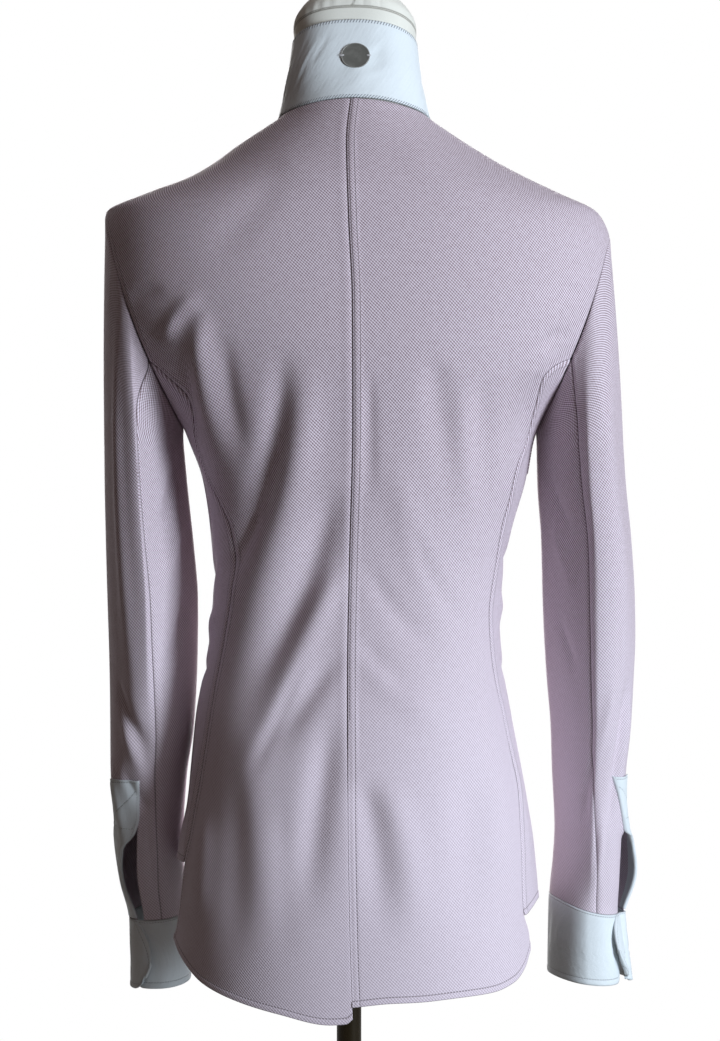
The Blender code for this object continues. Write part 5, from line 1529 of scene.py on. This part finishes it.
def form_spot(theta, z):
    """The form's skin below the neckline, flat where a limb would start."""
    point = section_point(theta, z) - section_normal(theta, z) * FORM_CLEAR_AT(z)[..., None]
    for side in (LEFT, RIGHT):
        hole = ARMHOLE[side]
        limit = armhole_x(side, np.minimum(z, hole["top_z"])) - 0.005
        out = side * (point[..., 0] - GARMENT_X)
        held = np.where((z > hole["under_z"]) & (np.cos(theta) * side > 0), np.minimum(out, limit), out)
        point[..., 0] = GARMENT_X + side * held
    return point


def neck_spot(theta, v):
    inset = 0.0026
    flat = unit(collar_facing(theta, np.minimum(v, 1)) * np.array((1, 1, 0)))
    low = collar_spot(theta, np.minimum(v, 1)) - flat * (mix(inset, 0.0012, np.clip(v - 1, 0, 1)))[..., None]
    return low + np.array((0, 0, 1)) * (np.maximum(v - 1, 0) * CAP_SEAM)[..., None]


def dress_form():
    turns = -pi / 2 + np.linspace(0, 1, 161) * tau
    theta, share = np.meshgrid(turns, np.linspace(0, 1, 130))
    z = mix(FORM_FOOT, neck_z(theta) - 0.004, share**0.96)
    torso = form_spot(theta, z)
    theta_up, v = np.meshgrid(turns, np.concatenate([np.linspace(0, 1, 16), np.linspace(1.08, 2, 16)]))
    neck = neck_spot(theta_up, v)
    centre = torso[0].mean(axis=0)
    floor = [mix(centre, torso[0], k) for k in (0.0, 0.3, 0.6, 0.85)]
    lid_centre = neck[-1].mean(axis=0)
    lid = [mix(neck[-1], lid_centre, k) for k in (0.3, 0.65, 1.0)]
    point = np.concatenate([np.array(floor), torso, neck, np.array(lid)])
    seam = np.full(point.shape[:2], FAR)
    seam[len(floor) + len(torso):len(floor) + len(torso) + len(neck)] = np.abs(2 - v) * CAP_SEAM
    mesh = grid_mesh("detail_form_torso", point, 1, held={"seam": seam}, close=True)
    add_piece("detail_form_torso", "form_torso", mesh, [FORM])

    theta, share = np.meshgrid(turns, np.concatenate([np.linspace(0, 0.2, 14), np.linspace(0.23, 1, 26)]))
    rim = neck_spot(theta, 2 + 0 * theta) + np.array((0, 0, SEAM_GAP))
    centre = rim[0].mean(axis=0)
    rise = share * pi / 2
    puff = 0.0006 * np.sin(np.clip(share * 14, 0, pi))
    point = mix(centre, rim, np.cos(rise)[..., None])
    point = point + np.array((0, 0, 1)) * (CAP_HEIGHT * np.sin(rise))[..., None]
    away = unit((point - centre) * np.array((1, 1, 0)) + np.array((1e-9, 0, 0)))
    point = point + away * (puff * (share < 0.3))[..., None]
    wound = np.degrees(theta)
    gather = np.sin(np.radians(wound) * 46 + 2.2 * np.sin(wound * 0.4))
    gather = gather * bell(wound - 104, 16) * bell(share - 0.07, 0.11)
    gather += 0.4 * np.sin(np.radians(wound) * 31) * bell(wound - 60, 20) * bell(share - 0.06, 0.09)
    point = point + away * (0.0007 * gather)[..., None]
    base = np.array([mix(centre, rim[0], k) for k in (0.0, 0.5, 0.97)])
    point = np.concatenate([base, point])
    seam = np.full(point.shape[:2], FAR)
    across = (np.radians(wound) - radians(88)) * 0.045
    upward = share * pi / 2 * CAP_HEIGHT
    slit = np.abs(across - 0.25 * upward) + np.maximum(upward - 0.019, 0)
    seam[3:] = np.minimum(upward, slit)
    mesh = grid_mesh("detail_form_cap", point, 1, held={"seam": seam}, close=True)
    add_piece("detail_form_cap", "form_cap", mesh, [FORM])

    top, bottom, radius = FORM_FOOT - SEAM_GAP, BASE_THICK + SEAM_GAP, POLE_RADIUS
    profile = [(0, top)] + arc_profile(radius - 0.001, top - 0.001, 0.001, 90, 0, 4)
    profile += [(radius, mix(top, bottom, i / 24)) for i in range(1, 24)]
    profile += arc_profile(radius - 0.0006, bottom + 0.0006, 0.0006, 0, -90, 3) + [(0, bottom)]
    turned("detail_form_pole", "form_pole", profile, BRONZE)
    radius, thick = BASE_RADIUS, BASE_THICK
    profile = [(0, thick), (0.020, thick)]
    for share in (i / 10 for i in range(1, 11)):
        profile.append((mix(0.020, 0.172, share), mix(thick, thick - 0.003, share**2)))
    profile += arc_profile(radius - 0.0075, thick - 0.0107, 0.0075, 82, 6, 10)
    profile += arc_profile(radius - 0.002, 0.002, 0.002, 0, -90, 4) + [(0, 0)]
    turned("detail_form_base", "form_base", profile, BRONZE, steps=128)


def soft_lamp(name, spot, aim, size, power, colour):
    data = bpy.data.lights.new(name, "AREA")
    data.shape, data.size, data.size_y = "RECTANGLE", *size
    data.energy, data.color = power, colour
    made = bpy.data.objects.new(name, data)
    made.location = spot
    made.rotation_euler = (Vector(aim) - Vector(spot)).to_track_quat("-Z", "Y").to_euler()
    bpy.context.scene.collection.objects.link(made)


def seen_rays(tree):
    """1 for what the camera sees, straight, in a mirror or through glass."""
    ray = tree.nodes.new("ShaderNodeLightPath").outputs
    total = ray["Is Camera Ray"]
    for name in ("Is Glossy Ray", "Is Transmission Ray"):
        node = tree.nodes.new("ShaderNodeMath")
        node.operation, node.use_clamp = "ADD", True
        tree.links.new(total, node.inputs[0])
        tree.links.new(ray[name], node.inputs[1])
        total = node.outputs[0]
    return total


def studio():
    shape = bmesh.new()
    bmesh.ops.create_circle(shape, cap_ends=True, segments=96, radius=FLOOR_RADIUS)
    mesh = bpy.data.meshes.new("floor")
    shape.to_mesh(mesh)
    shape.free()
    floor = bpy.data.objects.new("floor", mesh)
    look = Look("floor_paper", (0.86, 0.86, 0.86), 0.8)
    look.shade(look.math("MULTIPLY", look.noise(look.place(), 60.0, 3.0), 0.06), (0.78, 0.78, 0.79))
    look.shade(look.math("SUBTRACT", 1.0, seen_rays(look.tree)), (0.20, 0.19, 0.18))
    mesh.materials.append(look.made)
    bpy.context.scene.collection.objects.link(floor)

    world = bpy.data.worlds.new("studio")
    bpy.context.scene.world = world
    world.use_nodes = True
    tree = world.node_tree
    light = tree.nodes["Background"]
    light.inputs["Color"].default_value = (*AMBIENT, 1)
    light.inputs["Strength"].default_value = 1.0
    white = tree.nodes.new("ShaderNodeBackground")
    white.inputs["Color"].default_value = (1, 1, 1, 1)
    both = tree.nodes.new("ShaderNodeMixShader")
    tree.links.new(seen_rays(tree), both.inputs[0])
    tree.links.new(light.outputs[0], both.inputs[1])
    tree.links.new(white.outputs[0], both.inputs[2])
    tree.links.new(both.outputs[0], tree.nodes["World Output"].inputs["Surface"])

    soft_lamp("key", (-1.83, 1.60, 1.20), (0, 0, 1.06), (0.7, 1.5), 66, (0.80, 0.90, 1.0))
    soft_lamp("high", (-0.90, 1.30, 2.75), (0, 0, 1.15), (1.2, 0.9), 8, (0.95, 0.94, 1.0))
    soft_lamp("front", (0.10, -2.20, 1.50), (0, 0, 1.05), (1.4, 1.4), 60, (1.0, 0.97, 0.94))

    data = bpy.data.cameras.new("camera")
    data.lens, data.sensor_width, data.sensor_fit = 80.4, 36, "AUTO"
    camera = bpy.data.objects.new("camera", data)
    camera.location = (-0.0085, 1.8, 1.077)
    camera.rotation_euler = (radians(90), 0, radians(180))
    bpy.context.scene.collection.objects.link(camera)
    bpy.context.scene.camera = camera
    bpy.context.scene.view_settings.view_transform = "Standard"


body_panels()
front_band()
sleeves()
collar()
fastenings()
badge()
dress_form()
studio()
